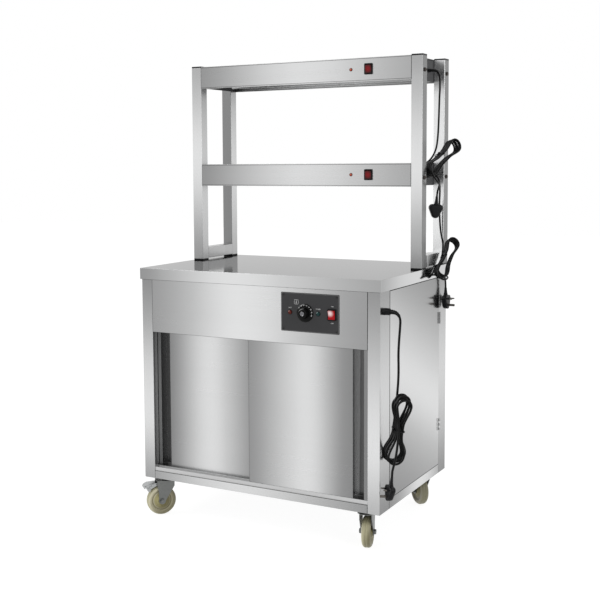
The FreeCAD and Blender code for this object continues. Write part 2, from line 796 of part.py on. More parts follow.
shelf_half = gantry_inner
shelf_switch_x = shelf_half - shelf_switch_from_end
shelf_lamp_x = shelf_half - shelf_lamp_from_end
shelf_front_y = gantry_front_y
shelf_back_y = gantry_back_y - 4
shelf_levels = {"mid": top_height + mid_shelf_bottom, "top": top_height + top_shelf_bottom}


def shelf_housing(bottom):
    """A folded channel, open below between two lips, with cut-outs for lamp and switch."""
    top = bottom + shelf_height
    outline = [(shelf_front_y + shelf_lip, bottom), (shelf_front_y, bottom), (shelf_front_y, top),
               (shelf_back_y, top), (shelf_back_y, bottom), (shelf_back_y - shelf_lip, bottom)]
    place = lambda y, z: (-shelf_half, y, z)
    housing = strip(outline, -sheet, place, (2 * shelf_half, 0, 0))
    z = bottom + shelf_control_rise
    housing = housing.cut(rod((shelf_lamp_x, shelf_front_y - 5, z), (0, 1, 0), shelf_lamp_radius + 0.2, 20))
    slot = box(shelf_switch_x - switch_hole_width / 2, shelf_switch_x + switch_hole_width / 2,
               shelf_front_y - 5, shelf_front_y + 15,
               z - switch_hole_height / 2, z + switch_hole_height / 2)
    return housing.cut(slot)


def reflector(bottom):
    """A trough that opens downwards over the heating tubes."""
    middle = (shelf_front_y + shelf_back_y) / 2
    z0 = bottom + reflector_drop
    outline = [(middle - reflector_mouth / 2 - 24, z0), (middle - reflector_mouth / 2, z0),
               (middle - reflector_crown / 2, z0 + reflector_rise),
               (middle + reflector_crown / 2, z0 + reflector_rise),
               (middle + reflector_mouth / 2, z0), (middle + reflector_mouth / 2 + 24, z0)]
    length = 2 * (shelf_half - end_plate_thickness - joint_gap)
    place = lambda y, z: (-length / 2, y, z)
    return strip(outline, sheet, place, (length, 0, 0))


def heating_tubes(bottom):
    """Two quartz tubes in a row, each between two ceramic ends under a bracket."""
    middle = (shelf_front_y + shelf_back_y) / 2
    z = bottom + reflector_drop + reflector_rise - 20
    tubes = []
    for x in (-lamp_tube_x, lamp_tube_x):
        tube = rod((x - lamp_tube_length / 2, middle, z), (1, 0, 0), lamp_tube_radius, lamp_tube_length)
        parts = []
        for side in (-1, 1):
            start = x + side * lamp_tube_length / 2 - lamp_end_length / 2
            parts.append(rod((start, middle, z), (1, 0, 0), lamp_end_radius, lamp_end_length))
            parts.append(box(start + 4, start + lamp_end_length - 4, middle - 5, middle + 5, z,
                             bottom + reflector_drop + reflector_rise))
        tubes.append(tube.fuse(parts))
    return tubes


def end_plate(bottom):
    """The black plate that closes the right end of a shelf."""
    y0, y1 = shelf_front_y + sheet + joint_gap, shelf_back_y - sheet - joint_gap
    return box(shelf_half - end_plate_thickness, shelf_half, y0, y1,
               bottom + sheet + joint_gap, bottom + shelf_height - sheet - joint_gap)


reflectors, tubes, end_plates, bolts, housings, shelf_lamps = [], [], [], [], [], []
for shelf_name, bottom in shelf_levels.items():
    store(shelf_name + "_shelf", shelf_housing(bottom))
    reflectors.append(reflector(bottom))
    tubes += heating_tubes(bottom)
    plate = end_plate(bottom)
    end_plates += [plate, mirrored(plate)]
    z = bottom + shelf_control_rise
    housings.append(switch_housing(shelf_switch_x, shelf_front_y, z))
    store(shelf_name + "_shelf_rocker", rocker_key(shelf_switch_x, shelf_front_y, z))
    shelf_lamps.append(panel_lamp(shelf_lamp_x, shelf_front_y, z, shelf_lamp_radius, 2.6, 16))
    for y in (gantry_front_y + gantry_tube / 2, rear_post_start + gantry_tube / 2):
        head = rod((gantry_x, y, bottom + bolt_rise), (1, 0, 0), bolt_head_radius, bolt_head_height)
        head = head.makeFillet(1.5, [head.Edges[0]])
        bolts += [head, mirrored(head)]

store("reflectors", *reflectors)
store("heating_tubes", *tubes)
store("shelf_end_plates", *end_plates)
store("screws_and_bolts", *(plate_screws() + bolts))
store("switch_housings", switch_housing(plate_x + switch_x, panel_y, control_z), *housings)
store("red_lamps", red_lamp, *shelf_lamps)


# ---------------------------------------------------------------- castors
# Each castor is made at the origin: u along X is the way the wheel trails, and the axle
# runs along Y. It is then turned and moved to its place.
arm_inner = wheel_width / 2 + fork_gap
arm_outer = arm_inner + fork_sheet
axle_z = wheel_radius
plate_bottom = body_bottom - castor_plate
crown_z = plate_bottom - race_height - swivel_clearance


def castor_mount():
    """Top plate with slotted corners, bearing race and kingpin."""
    plate = box(-plate_length / 2, plate_length / 2, -plate_breadth / 2, plate_breadth / 2,
                plate_bottom, body_bottom)
    plate = plate.makeFillet(6.0, edges_along(plate, Vector(0, 0, 1)))
    race = Part.makeCone(race_radius - 5, race_radius, race_height, Vector(0, 0, plate_bottom - race_height),
                         Vector(0, 0, 1))
    foot = crown_z - fork_sheet - 4.5
    pin = rod((0, 0, foot), (0, 0, 1), king_radius, body_bottom - foot)
    head = rod((0, 0, foot), (0, 0, 1), king_radius + 3, 4)
    return plate.fuse([race, pin, head])


def fork():
    """The pressed fork: a round crown with two arms that run down and back to the axle."""
    bore = rod((0, 0, 0), (0, 0, 1), king_radius + axle_clearance, 200)
    crown = rod((0, 0, crown_z - fork_sheet), (0, 0, 1), crown_radius, fork_sheet)
    saddle = box(-18, castor_trail + 18, -arm_outer, arm_outer, crown_z - fork_sheet, crown_z)
    pieces = [saddle]
    for side in (-1, 1):
        tip_x, tip_z, tip_r = castor_trail, axle_z, 12.0
        top = crown_z
        start = (Vector(-18, 0, top), Vector(castor_trail + 18, 0, top))
        edges = [Part.LineSegment(start[0], start[1]).toShape(),
                 Part.LineSegment(start[1], Vector(castor_trail + 18, 0, top - 14)).toShape(),
                 Part.LineSegment(Vector(castor_trail + 18, 0, top - 14),
                                  Vector(tip_x + tip_r, 0, tip_z + 30)).toShape(),
                 Part.LineSegment(Vector(tip_x + tip_r, 0, tip_z + 30),
                                  Vector(tip_x + tip_r, 0, tip_z)).toShape(),
                 Part.Arc(Vector(tip_x + tip_r, 0, tip_z), Vector(tip_x, 0, tip_z - tip_r),
                          Vector(tip_x - tip_r, 0, tip_z)).toShape(),
                 Part.LineSegment(Vector(tip_x - tip_r, 0, tip_z), Vector(-18, 0, top - 20)).toShape(),
                 Part.LineSegment(Vector(-18, 0, top - 20), start[0]).toShape()]
        arm = Part.Face(Part.Wire(edges)).extrude(Vector(0, fork_sheet, 0))
        pieces.append(moved(arm, y=arm_inner if side > 0 else -arm_outer))
    body = crown.fuse(pieces).removeSplitter().cut(bore)
    bolt = rod((castor_trail, -arm_outer - 1.5, axle_z), (0, 1, 0), axle_radius, 2 * arm_outer + 9)
    head = rod((castor_trail, -arm_outer - 6, axle_z), (0, 1, 0), 8, 6)
    nut = polygon_prism([(castor_trail + 8.5 * math.cos(math.radians(60 * k)), arm_outer,
                          axle_z + 8.5 * math.sin(math.radians(60 * k))) for k in range(6)], (0, 6.5, 0))
    return body.fuse([bolt, head, nut])


def wheel():
    """A moulded wheel: rounded tread with a parting groove, dished sides and a hub."""
    half = wheel_width / 2
    bore = axle_radius + axle_clearance
    rim = wheel_radius

    def at(radius, width):
        return Vector(radius, width, 0)

    def side(sign):
        hub = [at(bore, sign * (half + 2)), at(14, sign * (half + 2)), at(19, sign * (half - 2)),
               at(27, sign * (half - 5)), at(34, sign * (half - 5)), at(38, sign * (half - 1)),
               at(42, sign * half)]
        return hub

    upper, lower = side(1), side(-1)
    edges = [Part.LineSegment(a, b).toShape() for a, b in zip(upper, upper[1:])]
    edges.append(Part.Arc(at(42, half), at(rim - 1.8, half - 4.5), at(rim, 1.2)).toShape())
    edges.append(Part.LineSegment(at(rim, 1.2), at(rim - 0.8, 0)).toShape())
    edges.append(Part.LineSegment(at(rim - 0.8, 0), at(rim, -1.2)).toShape())
    edges.append(Part.Arc(at(rim, -1.2), at(rim - 1.8, -half + 4.5), at(42, -half)).toShape())
    edges += [Part.LineSegment(b, a).toShape() for a, b in reversed(list(zip(lower, lower[1:])))]
    edges.append(Part.LineSegment(lower[0], upper[0]).toShape())
    tyre = Part.Face(Part.Wire(edges)).revolve(Vector(0, 0, 0), Vector(0, 1, 0), 360)
    return moved(tyre, x=castor_trail, z=axle_z)


def brake_pedal():
    """A pressed pedal on a pin between the fork arms, with the pad that meets the tread."""
    u, z = pedal_pivot_u, pedal_pivot_z
    inner = arm_inner - 0.6
    toward = math.atan2(z - 20 - axle_z, u + 30 - castor_trail)
    pad_distance = wheel_radius + brake_gap + brake_pad_radius
    pad_u = castor_trail + pad_distance * math.cos(toward)
    pad_z = axle_z + pad_distance * math.sin(toward)
    outline = [(u - 6, z + 3), (u + 14, z + 4), (pedal_reach - 14, z + 1.5), (pedal_reach, z - 4)]
    place = lambda a, b: (a, -inner, b)
    tread = strip(outline, pedal_sheet, place, (0, 2 * inner, 0))
    wide = [(pedal_neck, z + 2.2), (pedal_reach - 14, z + 1.5), (pedal_reach - 4, z - 3.5),
            (pedal_reach, z - 10)]
    wings = strip(wide, pedal_sheet, lambda a, b: (a, -pedal_width / 2, b), (0, pedal_width, 0))
    barrel = rod((u, -inner, z), (0, 1, 0), pedal_pin_radius + 2.5, 2 * inner)
    pad = rod((pad_u, -inner + 2, pad_z), (0, 1, 0), brake_pad_radius, 2 * inner - 4)
    tongue = polygon_prism([(u + 2, -inner + 6, z - 3), (pad_u, -inner + 6, pad_z - 2),
                            (pad_u + 3, -inner + 6, pad_z + 3), (u + 14, -inner + 6, z + 5)],
                           (0, 2 * inner - 12, 0))
    bore = rod((u, -inner - 1, z), (0, 1, 0), pedal_pin_radius + axle_clearance, 2 * inner + 2)
    return tread.fuse([wings, barrel, pad, tongue]).cut(bore).removeSplitter()


def pedal_pin():
    return rod((pedal_pivot_u, -arm_outer, pedal_pivot_z), (0, 1, 0), pedal_pin_radius, 2 * arm_outer)


castor_places = {
    "front_left": (-castor_x, -castor_y),
    "front_right": (castor_x, -castor_y),
    "rear_left": (-castor_x, castor_y),
    "rear_right": (castor_x, castor_y),
}
mount, fork_shape, wheel_shape, pedal_shape = castor_mount(), fork(), wheel(), brake_pedal()
store("castor_plates", *[moved(turned(mount, 0), x, y) for x, y in castor_places.values()])
for corner, (x, y) in castor_places.items():
    angle = swivel_angles[corner]
    fork_piece = fork_shape.fuse(pedal_pin()) if corner in braked else fork_shape
    store("fork_" + corner, moved(turned(fork_piece, angle), x, y))
    store("wheel_" + corner, moved(turned(wheel_shape, angle), x, y))
    if corner in braked:
        store("brake_pedal_" + corner, moved(turned(pedal_shape, angle), x, y))


# ---------------------------------------------------------------- cords
def arc_between(start, corner, end):
    """The arc that leaves start towards corner and arrives at end from it."""
    chord = (start + end) * 0.5
    half = (end - start).Length / 2
    reach = (corner - chord).Length
    if reach < 1e-4 * half:
        return Part.LineSegment(start, end).toShape()
    turn = 2 * math.atan2(reach, half)
    middle = chord + (corner - chord) * (half * math.tan(turn / 4) / reach)
    return Part.Arc(start, middle, end).toShape()


def cord_tube(name, points, diameter):
    """A round tube along straight runs that are joined by arcs as large as they allow."""
    points = [Vector(*p) for p in points]
    edges, radii, last = [], [], points[0]
    for before, corner, after in zip(points, points[1:], points[2:]):
        run_in, run_out = corner - before, after - corner
        turn = run_in.getAngle(run_out)
        cut = 0.45 * min(run_in.Length, run_out.Length)
        radii.append(cut / math.tan(turn / 2))
        start = corner - run_in.normalize() * cut
        end = corner + run_out.normalize() * cut
        edges += [Part.LineSegment(last, start).toShape(), arc_between(start, corner, end)]
        last = end
    edges.append(Part.LineSegment(last, points[-1]).toShape())
    path = Part.Wire(edges)
    ring = Part.Wire(Part.makeCircle(diameter / 2, points[0], points[1] - points[0]))
    tube = path.makePipeShell([ring], True, False)
    ideal = math.pi * diameter ** 2 / 4 * path.Length
    print(name, "length", round(path.Length), "volume / ideal", round(tube.Volume / ideal, 4),
          "radii", [round(r) for r in radii])
    return tube


def biarc(p0, t0, p1, t1):
    """Two arcs from p0 to p1 that meet with one tangent and keep both end tangents."""
    span = p1 - p0
    both = t0 + t1
    square = 2 * (t0.dot(t1) - 1)
    linear = -2 * span.dot(both)
    constant = span.dot(span)
    if abs(square) < 1e-9:
        reach = -constant / linear
    else:
        root = math.sqrt(linear * linear - 4 * square * constant)
        reach = (-linear - root) / (2 * square)
    q0, q1 = p0 + t0 * reach, p1 - t1 * reach
    join = (q0 + q1) * 0.5
    return [arc_between(p0, q0, join), arc_between(join, q1, p1)]


def hank_nodes(bottom, top, climb, lobe_low, lobe_high, waist, pitch, first, last):
    """Places and directions along a hank's turns, eight to a turn.

    The turns are long loops between bottom and top, drawn in at the waist. They lie
    beside each other along climb, and each moves on by one pitch along its second run.
    The cord runs from the first to the last of these places.
    """
    bottom, top = Vector(*bottom), Vector(*top)
    along = (top - bottom).normalize()
    stack = Vector(*climb) - along * Vector(*climb).dot(along)
    stack.normalize()
    across = along.cross(stack)
    length = (top - bottom).Length
    centre = (bottom + top) * 0.5
    low, high = lobe_low / 2, lobe_high / 2
    lean = Vector(along + stack * (1.5 * pitch / (length - low - high))).normalize()
    shape = [(0.0, -waist / 2, 0.0, -along), (-length / 2 + low, -low, 0.0, -along),
             (-length / 2, 0.0, 0.0, across), (-length / 2 + low, low, 0.0, along),
             (0.0, waist / 2, 0.5, lean), (length / 2 - high, high, 1.0, along),
             (length / 2, 0.0, 1.0, -across), (length / 2 - high, -high, 1.0, -along)]
    nodes = []
    for step in range(first, last + 1):
        a, b, rise, direction = shape[step % 8]
        level = (step // 8 + rise) * pitch
        nodes.append((centre + along * a + across * b + stack * level, direction))
    return nodes


def hank_tube(name, nodes, diameter):
    """One unbroken faceted tube along the nodes, with a straight end at each side."""
    first, last = nodes[0], nodes[-1]
    start = first[0] - first[1] * diameter
    end = last[0] + last[1] * diameter
    edges = [Part.LineSegment(start, first[0]).toShape()]
    for (p0, t0), (p1, t1) in zip(nodes, nodes[1:]):
        edges += biarc(p0, t0, p1, t1)
    edges.append(Part.LineSegment(last[0], end).toShape())
    path = Part.Wire(edges)
    side = first[1].cross(Vector(0.31, 0.52, 0.79)).normalize()
    other = first[1].cross(side)
    corner = diameter / 2
    ring = [start + (side * math.cos(k * math.pi / 3) + other * math.sin(k * math.pi / 3)) * corner
            for k in range(6)]
    tube = path.makePipeShell([Part.makePolygon(ring + [ring[0]])], True, False)
    samples, reached = [], 0.0
    for edge in edges:
        count = max(2, int(edge.Length / 3))
        for k in range(count):
            u = edge.FirstParameter + (edge.LastParameter - edge.FirstParameter) * k / count
            samples.append((reached + edge.Length * k / count, edge.valueAt(u)))
        reached += edge.Length
    gap = min((a[1] - b[1]).Length for i, a in enumerate(samples) for b in samples[i + 1:]
              if b[0] - a[0] > 4 * diameter) - diameter
    area = 3 * math.sqrt(3) / 2 * corner ** 2
    print(name, "length", round(path.Length), "least gap to itself", round(gap, 2),
          "volume / ideal", round(tube.Volume / (area * path.Length), 4))
    return tube, start, end


def plug_at(neck_top, down, face):
    """A three-pin plug that hangs from its cord: down is the cord's way, face the pins'."""
    across = Vector(0, 0, 1).cross(Vector(0, 1, 0))
    w, h, t = plug_width / 2, plug_height, plug_thickness
    r_top, r_low = 11.0, 12.0
    neck = Part.makeCone(5.0, 7.5, plug_neck_length, Vector(0, 0, 0), Vector(0, 0, -1))
    top = -plug_neck_length
    corners = [(-w + r_top, top - r_top, r_top), (w - r_top, top - r_top, r_top),
               (0, top - h + r_low, r_low)]
    discs = [rod((x, -t / 2, z), (0, 1, 0), r, t) for x, z, r in corners]
    hull = [(-w + r_top, top), (w - r_top, top)]
    body = discs[0].fuse(discs[1:])
    for a, b in ((0, 1), (1, 2), (2, 0)):
        xa, za, ra = corners[a]
        xb, zb, rb = corners[b]
        gap = Vector(xb - xa, 0, zb - za)
        base = math.atan2(gap.z, gap.x)
        swing = base + math.acos((ra - rb) / gap.Length)
        pa = (xa + ra * math.cos(swing), -t / 2, za + ra * math.sin(swing))
        pb = (xb + rb * math.cos(swing), -t / 2, zb + rb * math.sin(swing))
        body = body.fuse(polygon_prism([(xa, -t / 2, za), pa, pb, (xb, -t / 2, zb)], (0, t, 0)))
    middle = polygon_prism([(x, -t / 2, z) for x, z, r in corners], (0, t, 0))
    body = body.fuse(middle).removeSplitter()
    body = body.fuse(neck)
    row_z = top - 12.0
    pins = [box(-pin_pitch / 2 - 3.2, -pin_pitch / 2 + 3.2, t / 2, t / 2 + pin_length, row_z - 2, row_z + 2),
            box(pin_pitch / 2 - 3.2, pin_pitch / 2 + 3.2, t / 2, t / 2 + pin_length, row_z - 2, row_z + 2),
            box(-2, 2, t / 2, t / 2 + earth_length, row_z - earth_drop - 4, row_z - earth_drop + 4)]
    plug = body.fuse(pins)
    down = Vector(*down).normalize()
    face = Vector(*face)
    face = (face - down * face.dot(down)).normalize()
    side = face.cross(-down)
    turn = FreeCAD.Matrix(side.x, face.x, -down.x, neck_top.x, side.y, face.y, -down.y, neck_top.y,
                          side.z, face.z, -down.z, neck_top.z, 0, 0, 0, 1)
    return plug.transformed(turn)


def gland():
    """A hexagon, a gripping dome and the thread in the post's wall."""
    start = Vector(body_x, gland_y, gland_height)
    nut = polygon_prism([(start.x, start.y + gland_radius * math.cos(math.radians(60 * k)),
                          start.z + gland_radius * math.sin(math.radians(60 * k))) for k in range(6)],
                        (9, 0, 0))
    dome = rod((start.x + 9, start.y, start.z), (1, 0, 0), gland_radius - 1.2, gland_length - 9)
    dome = dome.makeFillet(4.0, [dome.Edges[0]])
    thread = rod((start.x - 8, start.y, start.z), (1, 0, 0), gland_thread_radius - 0.1, 8)
    return nut.fuse([dome, thread])


def shelf_relief(bottom):
    """The clamp on a shelf's end plate: a saddle with two screws."""
    x = shelf_half
    z = bottom + relief_rise
    base = box(x, x + 3, relief_y - 15, relief_y + 15, z - 6, z + 6)
    grip = rod((x + 3, relief_y, z), (1, 0, 0), 5.5, relief_length - 3)
    screws = [rod((x + 3, relief_y + side, z), (1, 0, 0), 2.6, 1.8) for side in (-11, 11)]
    return base.fuse([grip] + screws)


def rounded_ring(centre, along, spread, across_half, spread_half, wall, height):
    """A closed band of rounded oblong shape round an axis, open inside."""
    other = along.cross(spread)
    rings = []
    for extra, rounding, reach in ((wall, 3.2 + wall, 0.0), (0.0, 3.2, 1.0)):
        a, b = across_half + extra, spread_half + extra
        corners = [centre + other * (sx * a) + spread * (sy * b) - along * (height / 2 + reach)
                   for sx, sy in ((-1, -1), (1, -1), (1, 1), (-1, 1))]
        outline = Part.makePolygon(corners + [corners[0]])
        block = Part.Face(outline).extrude(along * (height + 2 * reach))
        rings.append(block.makeFillet(rounding, edges_along(block, along)))
    return rings[0].cut(rings[1])


def hank_tie(bottom, top, climb, diameter, waist, pitch, turns):
    """A cable tie round all the turns at the waist, with its head and its cut tail."""
    bottom, top = Vector(*bottom), Vector(*top)
    along = (top - bottom).normalize()
    stack = Vector(*climb) - along * Vector(*climb).dot(along)
    stack.normalize()
    across = along.cross(stack)
    centre = (bottom + top) * 0.5 + stack * (pitch * turns / 2)
    a = waist / 2 + diameter / 2 + tie_clearance
    b = (pitch * turns + diameter) / 2 + tie_clearance
    band = rounded_ring(centre, along, stack, a, b, tie_wall, tie_width)
    corner = centre - across * (a + tie_wall - 0.4) + stack * (b * 0.35)
    head = Part.Face(Part.makePolygon(
        [corner + stack * (sx * 3.5) + along * (sy * 3.0) for sx, sy in
         ((-1, -1), (1, -1), (1, 1), (-1, 1), (-1, -1))])).extrude(across * -4.5)
    tail_start = corner - across * 3.2
    lean = (along - across * 0.10).normalize()
    tail = Part.Face(Part.makePolygon(
        [tail_start + stack * (sx * 1.3) - across * (sy * 0.5) for sx, sy in
         ((-1, -1), (1, -1), (1, 1), (-1, 1), (-1, -1))])).extrude(lean * tie_tail)
    return band.fuse([head, tail]).removeSplitter()


store("cord_clamps", gland(), *[shelf_relief(bottom) for bottom in shelf_levels.values()])

def hung_cord(name, nodes, start, end, diameter, leads, route_in, route_out, plug_down, plug_face):
    """The free stretches of a cord before and after its hank, and the plug at its end.

    route_in goes from the clamp to the hank and route_out from the hank to the plug's
    neck. Their points are out from the cabinet's right face and up from the worktop,
    apart from the clamp's. The runs that meet the hank lie in line with its ends, and
    leads are their lengths.
    """
    route_in = [route_in[0]] + [beside_cabinet(p) for p in route_in[1:]]
    route_in += [tuple(start - nodes[0][1] * leads[0]), tuple(start)]
    route_out = [beside_cabinet(p) for p in route_out]
    neck = Vector(*route_out[-1])
    before_neck = neck - Vector(*plug_down).normalize() * 2.4 * diameter
    route_out = [tuple(end), tuple(end + nodes[-1][1] * leads[1])] + route_out[:-1]
    route_out += [tuple(before_neck), tuple(neck)]
    store(name + "_cord", cord_tube(name + " cord to the hank", route_in, diameter),
          cord_tube(name + " cord to the plug", route_out, diameter))
    store(name + "_plug", plug_at(neck, plug_down, plug_face))
    for which, route in (("in", route_in), ("out", route_out)):
        print(name, which, [tuple(round(c, 1) for c in p) for p in route])


def beside_cabinet(point):
    """A place on a cord, from its distances out from the right face and up from the worktop."""
    return (body_x + point[0], point[1], top_height + point[2])


def hank_frame(bottom, top, climb, pitch, turns):
    """The first turn's ends, for a hank whose middle turn lies between bottom and top."""
    shift = Vector(*climb).normalize() * (-pitch * turns / 2)
    return tuple(Vector(*beside_cabinet(bottom)) + shift), tuple(Vector(*beside_cabinet(top)) + shift)


# The cabinet's cord: out of its gland, down the right side into the hank, and on to a plug.
low, high = hank_frame(cabinet_hank_low, cabinet_hank_high, cabinet_hank_climb, cabinet_pitch, 5)
nodes = hank_nodes(low, high, cabinet_hank_climb, cabinet_lobe_low, cabinet_lobe_high,
                   cabinet_waist, cabinet_pitch, 0, 40)
tube, start, end = hank_tube("cabinet_hank", nodes, cabinet_cord_diameter)
store("cabinet_hank", tube)
ties = [hank_tie(low, high, cabinet_hank_climb, cabinet_cord_diameter, cabinet_waist, cabinet_pitch, 5)]
hung_cord("cabinet", nodes, start, end, cabinet_cord_diameter, (24, 24),
          [(body_x + gland_length, gland_y, gland_height), (30, -270, -99), (38, -270, -103),
           (43.5, -270, -112), (45.5, -270, -125), (45.4, -269.5, -148), (46.6, -269, -186),
           (48.2, -268, -230), (49.8, -267, -272), (48.4, -266, -314), (45, -263, -354),
           (40.5, -259, -392)],
          [(57, -296, -523), (52, -299, -554), (43, -293, -582), (36, -284, -612)],
          (-5, -4, -53), (-0.7, -0.7, 0))

# The top shelf's cord hangs into a hank beside the middle shelf.
low, high = hank_frame(top_hank_low, top_hank_high, top_hank_climb, shelf_pitch, 5)
nodes = hank_nodes(low, high, top_hank_climb, top_lobe, top_lobe, shelf_waist, shelf_pitch, 1, 42)
tube, start, end = hank_tube("top_hank", nodes, shelf_cord_diameter)
store("top_hank", tube)
ties.append(hank_tie(low, high, top_hank_climb, shelf_cord_diameter, shelf_waist, shelf_pitch, 5))
hung_cord("top", nodes, start, end, shelf_cord_diameter, (20, 18),
          [(shelf_half + relief_length, relief_y, shelf_levels["top"] + relief_rise),
           (-20, 200, 668), (-13, 200, 664.5), (-8, 200, 656), (-4, 200, 641),
           (0, 200.5, 613), (2.5, 201, 570), (3, 202, 524), (1.5, 202.5, 480),
           (-0.5, 202, 439), (-4, 197, 401), (-10.5, 173, 370)],
          [(32, 125, 293), (28, 145, 283), (18.5, 158.5, 271), (11, 165, 240)],
          (-2.5, -5, -53), (-0.49, 0.87, 0))

# The middle shelf's cord hangs into a hank beside the worktop's edge.
low, high = hank_frame(mid_hank_low, mid_hank_high, mid_hank_climb, shelf_pitch, 4)
nodes = hank_nodes(low, high, mid_hank_climb, mid_lobe, mid_lobe, shelf_waist, shelf_pitch, 0, 34)
tube, start, end = hank_tube("mid_hank", nodes, shelf_cord_diameter)
store("mid_hank", tube)
ties.append(hank_tie(low, high, mid_hank_climb, shelf_cord_diameter, shelf_waist, shelf_pitch, 4))
hung_cord("mid", nodes, start, end, shelf_cord_diameter, (20, 12),
          [(shelf_half + relief_length, relief_y, shelf_levels["mid"] + relief_rise),
           (-20, 200, 314), (-12.5, 202, 310.5), (-8, 206, 301), (-5.5, 213, 284),
           (-4.5, 222, 256), (-5.5, 231, 219), (-6, 237, 181), (-4.5, 240, 143),
           (1, 242, 107), (9.5, 243, 75)],
          [(59.5, 162.5, -33), (61.5, 174, -34), (57, 187, -34), (45, 200, -33.5),
           (30, 214, -32.5), (17, 228, -34), (12, 240, -43.5), (14, 251, -80)],
          (0.5, 0, -53), (1, 0, 0))
store("hank_ties", *ties)

os.makedirs("parts", exist_ok=True)
for name, shape in solids.items():
    shape.exportStep("parts/" + name + ".step")
print(len(solids), "parts")
for name, shape in solids.items():
    if not shape.isValid():
        print("not valid:", name)
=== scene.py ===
# %% [markdown]
# # A heated serving trolley, dressed for its picture
#
# The shape of this trolley is fixed: it was drawn in a CAD program and packed as a
# frame, and every piece of that frame is loaded here in metres, where it belongs.
# What is left for Blender is how it looks: brushed steel, zinc, nylon and black
# rubber, the small parts that were too fine for the CAD model, the three mains
# cords, and a plain white studio.

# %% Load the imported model
import math
import bpy
import numpy as np
from mathutils import Matrix, Vector


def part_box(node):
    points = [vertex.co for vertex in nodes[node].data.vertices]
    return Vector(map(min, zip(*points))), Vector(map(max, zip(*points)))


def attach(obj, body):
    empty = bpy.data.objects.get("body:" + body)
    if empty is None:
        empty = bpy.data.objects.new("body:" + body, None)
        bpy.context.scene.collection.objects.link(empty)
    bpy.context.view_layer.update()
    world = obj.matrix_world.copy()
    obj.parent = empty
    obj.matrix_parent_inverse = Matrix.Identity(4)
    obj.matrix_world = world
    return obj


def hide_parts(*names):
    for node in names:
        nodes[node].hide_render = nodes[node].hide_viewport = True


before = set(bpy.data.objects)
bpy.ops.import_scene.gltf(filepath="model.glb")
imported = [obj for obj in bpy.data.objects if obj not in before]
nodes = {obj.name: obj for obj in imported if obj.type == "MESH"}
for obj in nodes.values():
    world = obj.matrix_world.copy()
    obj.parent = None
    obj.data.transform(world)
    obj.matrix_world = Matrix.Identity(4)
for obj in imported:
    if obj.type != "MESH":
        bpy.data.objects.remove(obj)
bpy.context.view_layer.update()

# %% [markdown]
# ## The camera
#
# The picture was taken from the right and a little above, with a longish lens. The
# camera's place, its three turns and its lens were found by matching the trolley's
# straight edges, so they are typed here as plain numbers. The picture is a part of
# a larger frame, so the lens looks a little off its centre, which is what the two
# shifts are for.

# %% Place the camera
camera_place = Vector((1.7190, -3.2846, 1.2303))
camera_turn, camera_tilt, camera_roll = 29.48, -4.94, -0.42     # degrees
picture = 600                                                   # pixels each way
focal_pixels, middle_x, middle_y = 1066.75, 261.1, 254.5


def placed(name, data):
    """A new object in the scene for a mesh, curve, lamp or camera."""
    made = bpy.data.objects.new(name, data)
    bpy.context.scene.collection.objects.link(made)
    return made


lens = bpy.data.cameras.new("camera")
lens.sensor_width = 36.0
lens.lens = lens.sensor_width * focal_pixels / picture
lens.shift_x = (picture / 2 - middle_x) / picture
lens.shift_y = (middle_y - picture / 2) / picture
lens.clip_start, lens.clip_end = 0.05, 60.0
camera = placed("camera", lens)
camera.matrix_world = (Matrix.Translation(camera_place)
    @ Matrix.Rotation(math.radians(camera_turn), 4, "Z")
    @ Matrix.Rotation(math.radians(90 + camera_tilt), 4, "X")
    @ Matrix.Rotation(math.radians(camera_roll), 4, "Z"))
bpy.context.scene.camera = camera
print("lens", round(lens.lens, 1), "mm")

# %% [markdown]
# ## Shader maths in plain Python
#
# A finish is a small calculation: take a place on the piece, look up some noise,
# mix two colours. In Blender each step is a node, and wiring them by hand is long.
# The class below wraps the output of a node, so that `1 - mask * 0.5` writes the
# Math nodes by itself, and one function adds every other kind of node.

# %% A wire that can be used in sums
class Wire:
    """The output of a node. A sum on wires adds one Math node for each sign."""

    def __init__(self, tree, socket):
        self.tree, self.socket = tree, socket

    def math(self, operation, *values):
        return add(self.tree, "Math", {"operation": operation}, dict(enumerate(values)))

    def __add__(self, other): return self.math("ADD", self, other)
    def __sub__(self, other): return self.math("SUBTRACT", self, other)
    def __rsub__(self, other): return self.math("SUBTRACT", other, self)
    def __mul__(self, other): return self.math("MULTIPLY", self, other)
    def __truediv__(self, other): return self.math("DIVIDE", self, other)
    def __lt__(self, other): return self.math("LESS_THAN", self, other)
    def __gt__(self, other): return self.math("GREATER_THAN", self, other)
    __radd__, __rmul__ = __add__, __mul__


def plug_in(tree, entry, value):
    """Gives an input its wire, or its plain number or colour."""
    if isinstance(value, Wire):
        tree.links.new(value.socket, entry)
    elif value is not None:
        entry.default_value = value


def fill(tree, node, values):
    """Fills a node's inputs, called by name or number."""
    for name, value in values.items():
        plug_in(tree, node.inputs[name], value)


def add(tree, kind, settings=None, values=None, out=0):
    """Adds a node: its settings first, then its inputs."""
    node = tree.nodes.new("ShaderNode" + kind)
    for name, value in (settings or {}).items():
        setattr(node, name, value)
    fill(tree, node, values or {})
    return Wire(tree, node.outputs[out])


def vectors(tree, operation, first, second, out=0):
    """One step of vector maths. With out=1 it gives a number."""
    return add(tree, "VectorMath", {"operation": operation}, {0: first, 1: second}, out)


def faces(tree, way):
    """How far the skin faces a way: 1 where it looks straight there."""
    return vectors(tree, "DOT_PRODUCT", add(tree, "TexCoord", out=1), way, out=1)


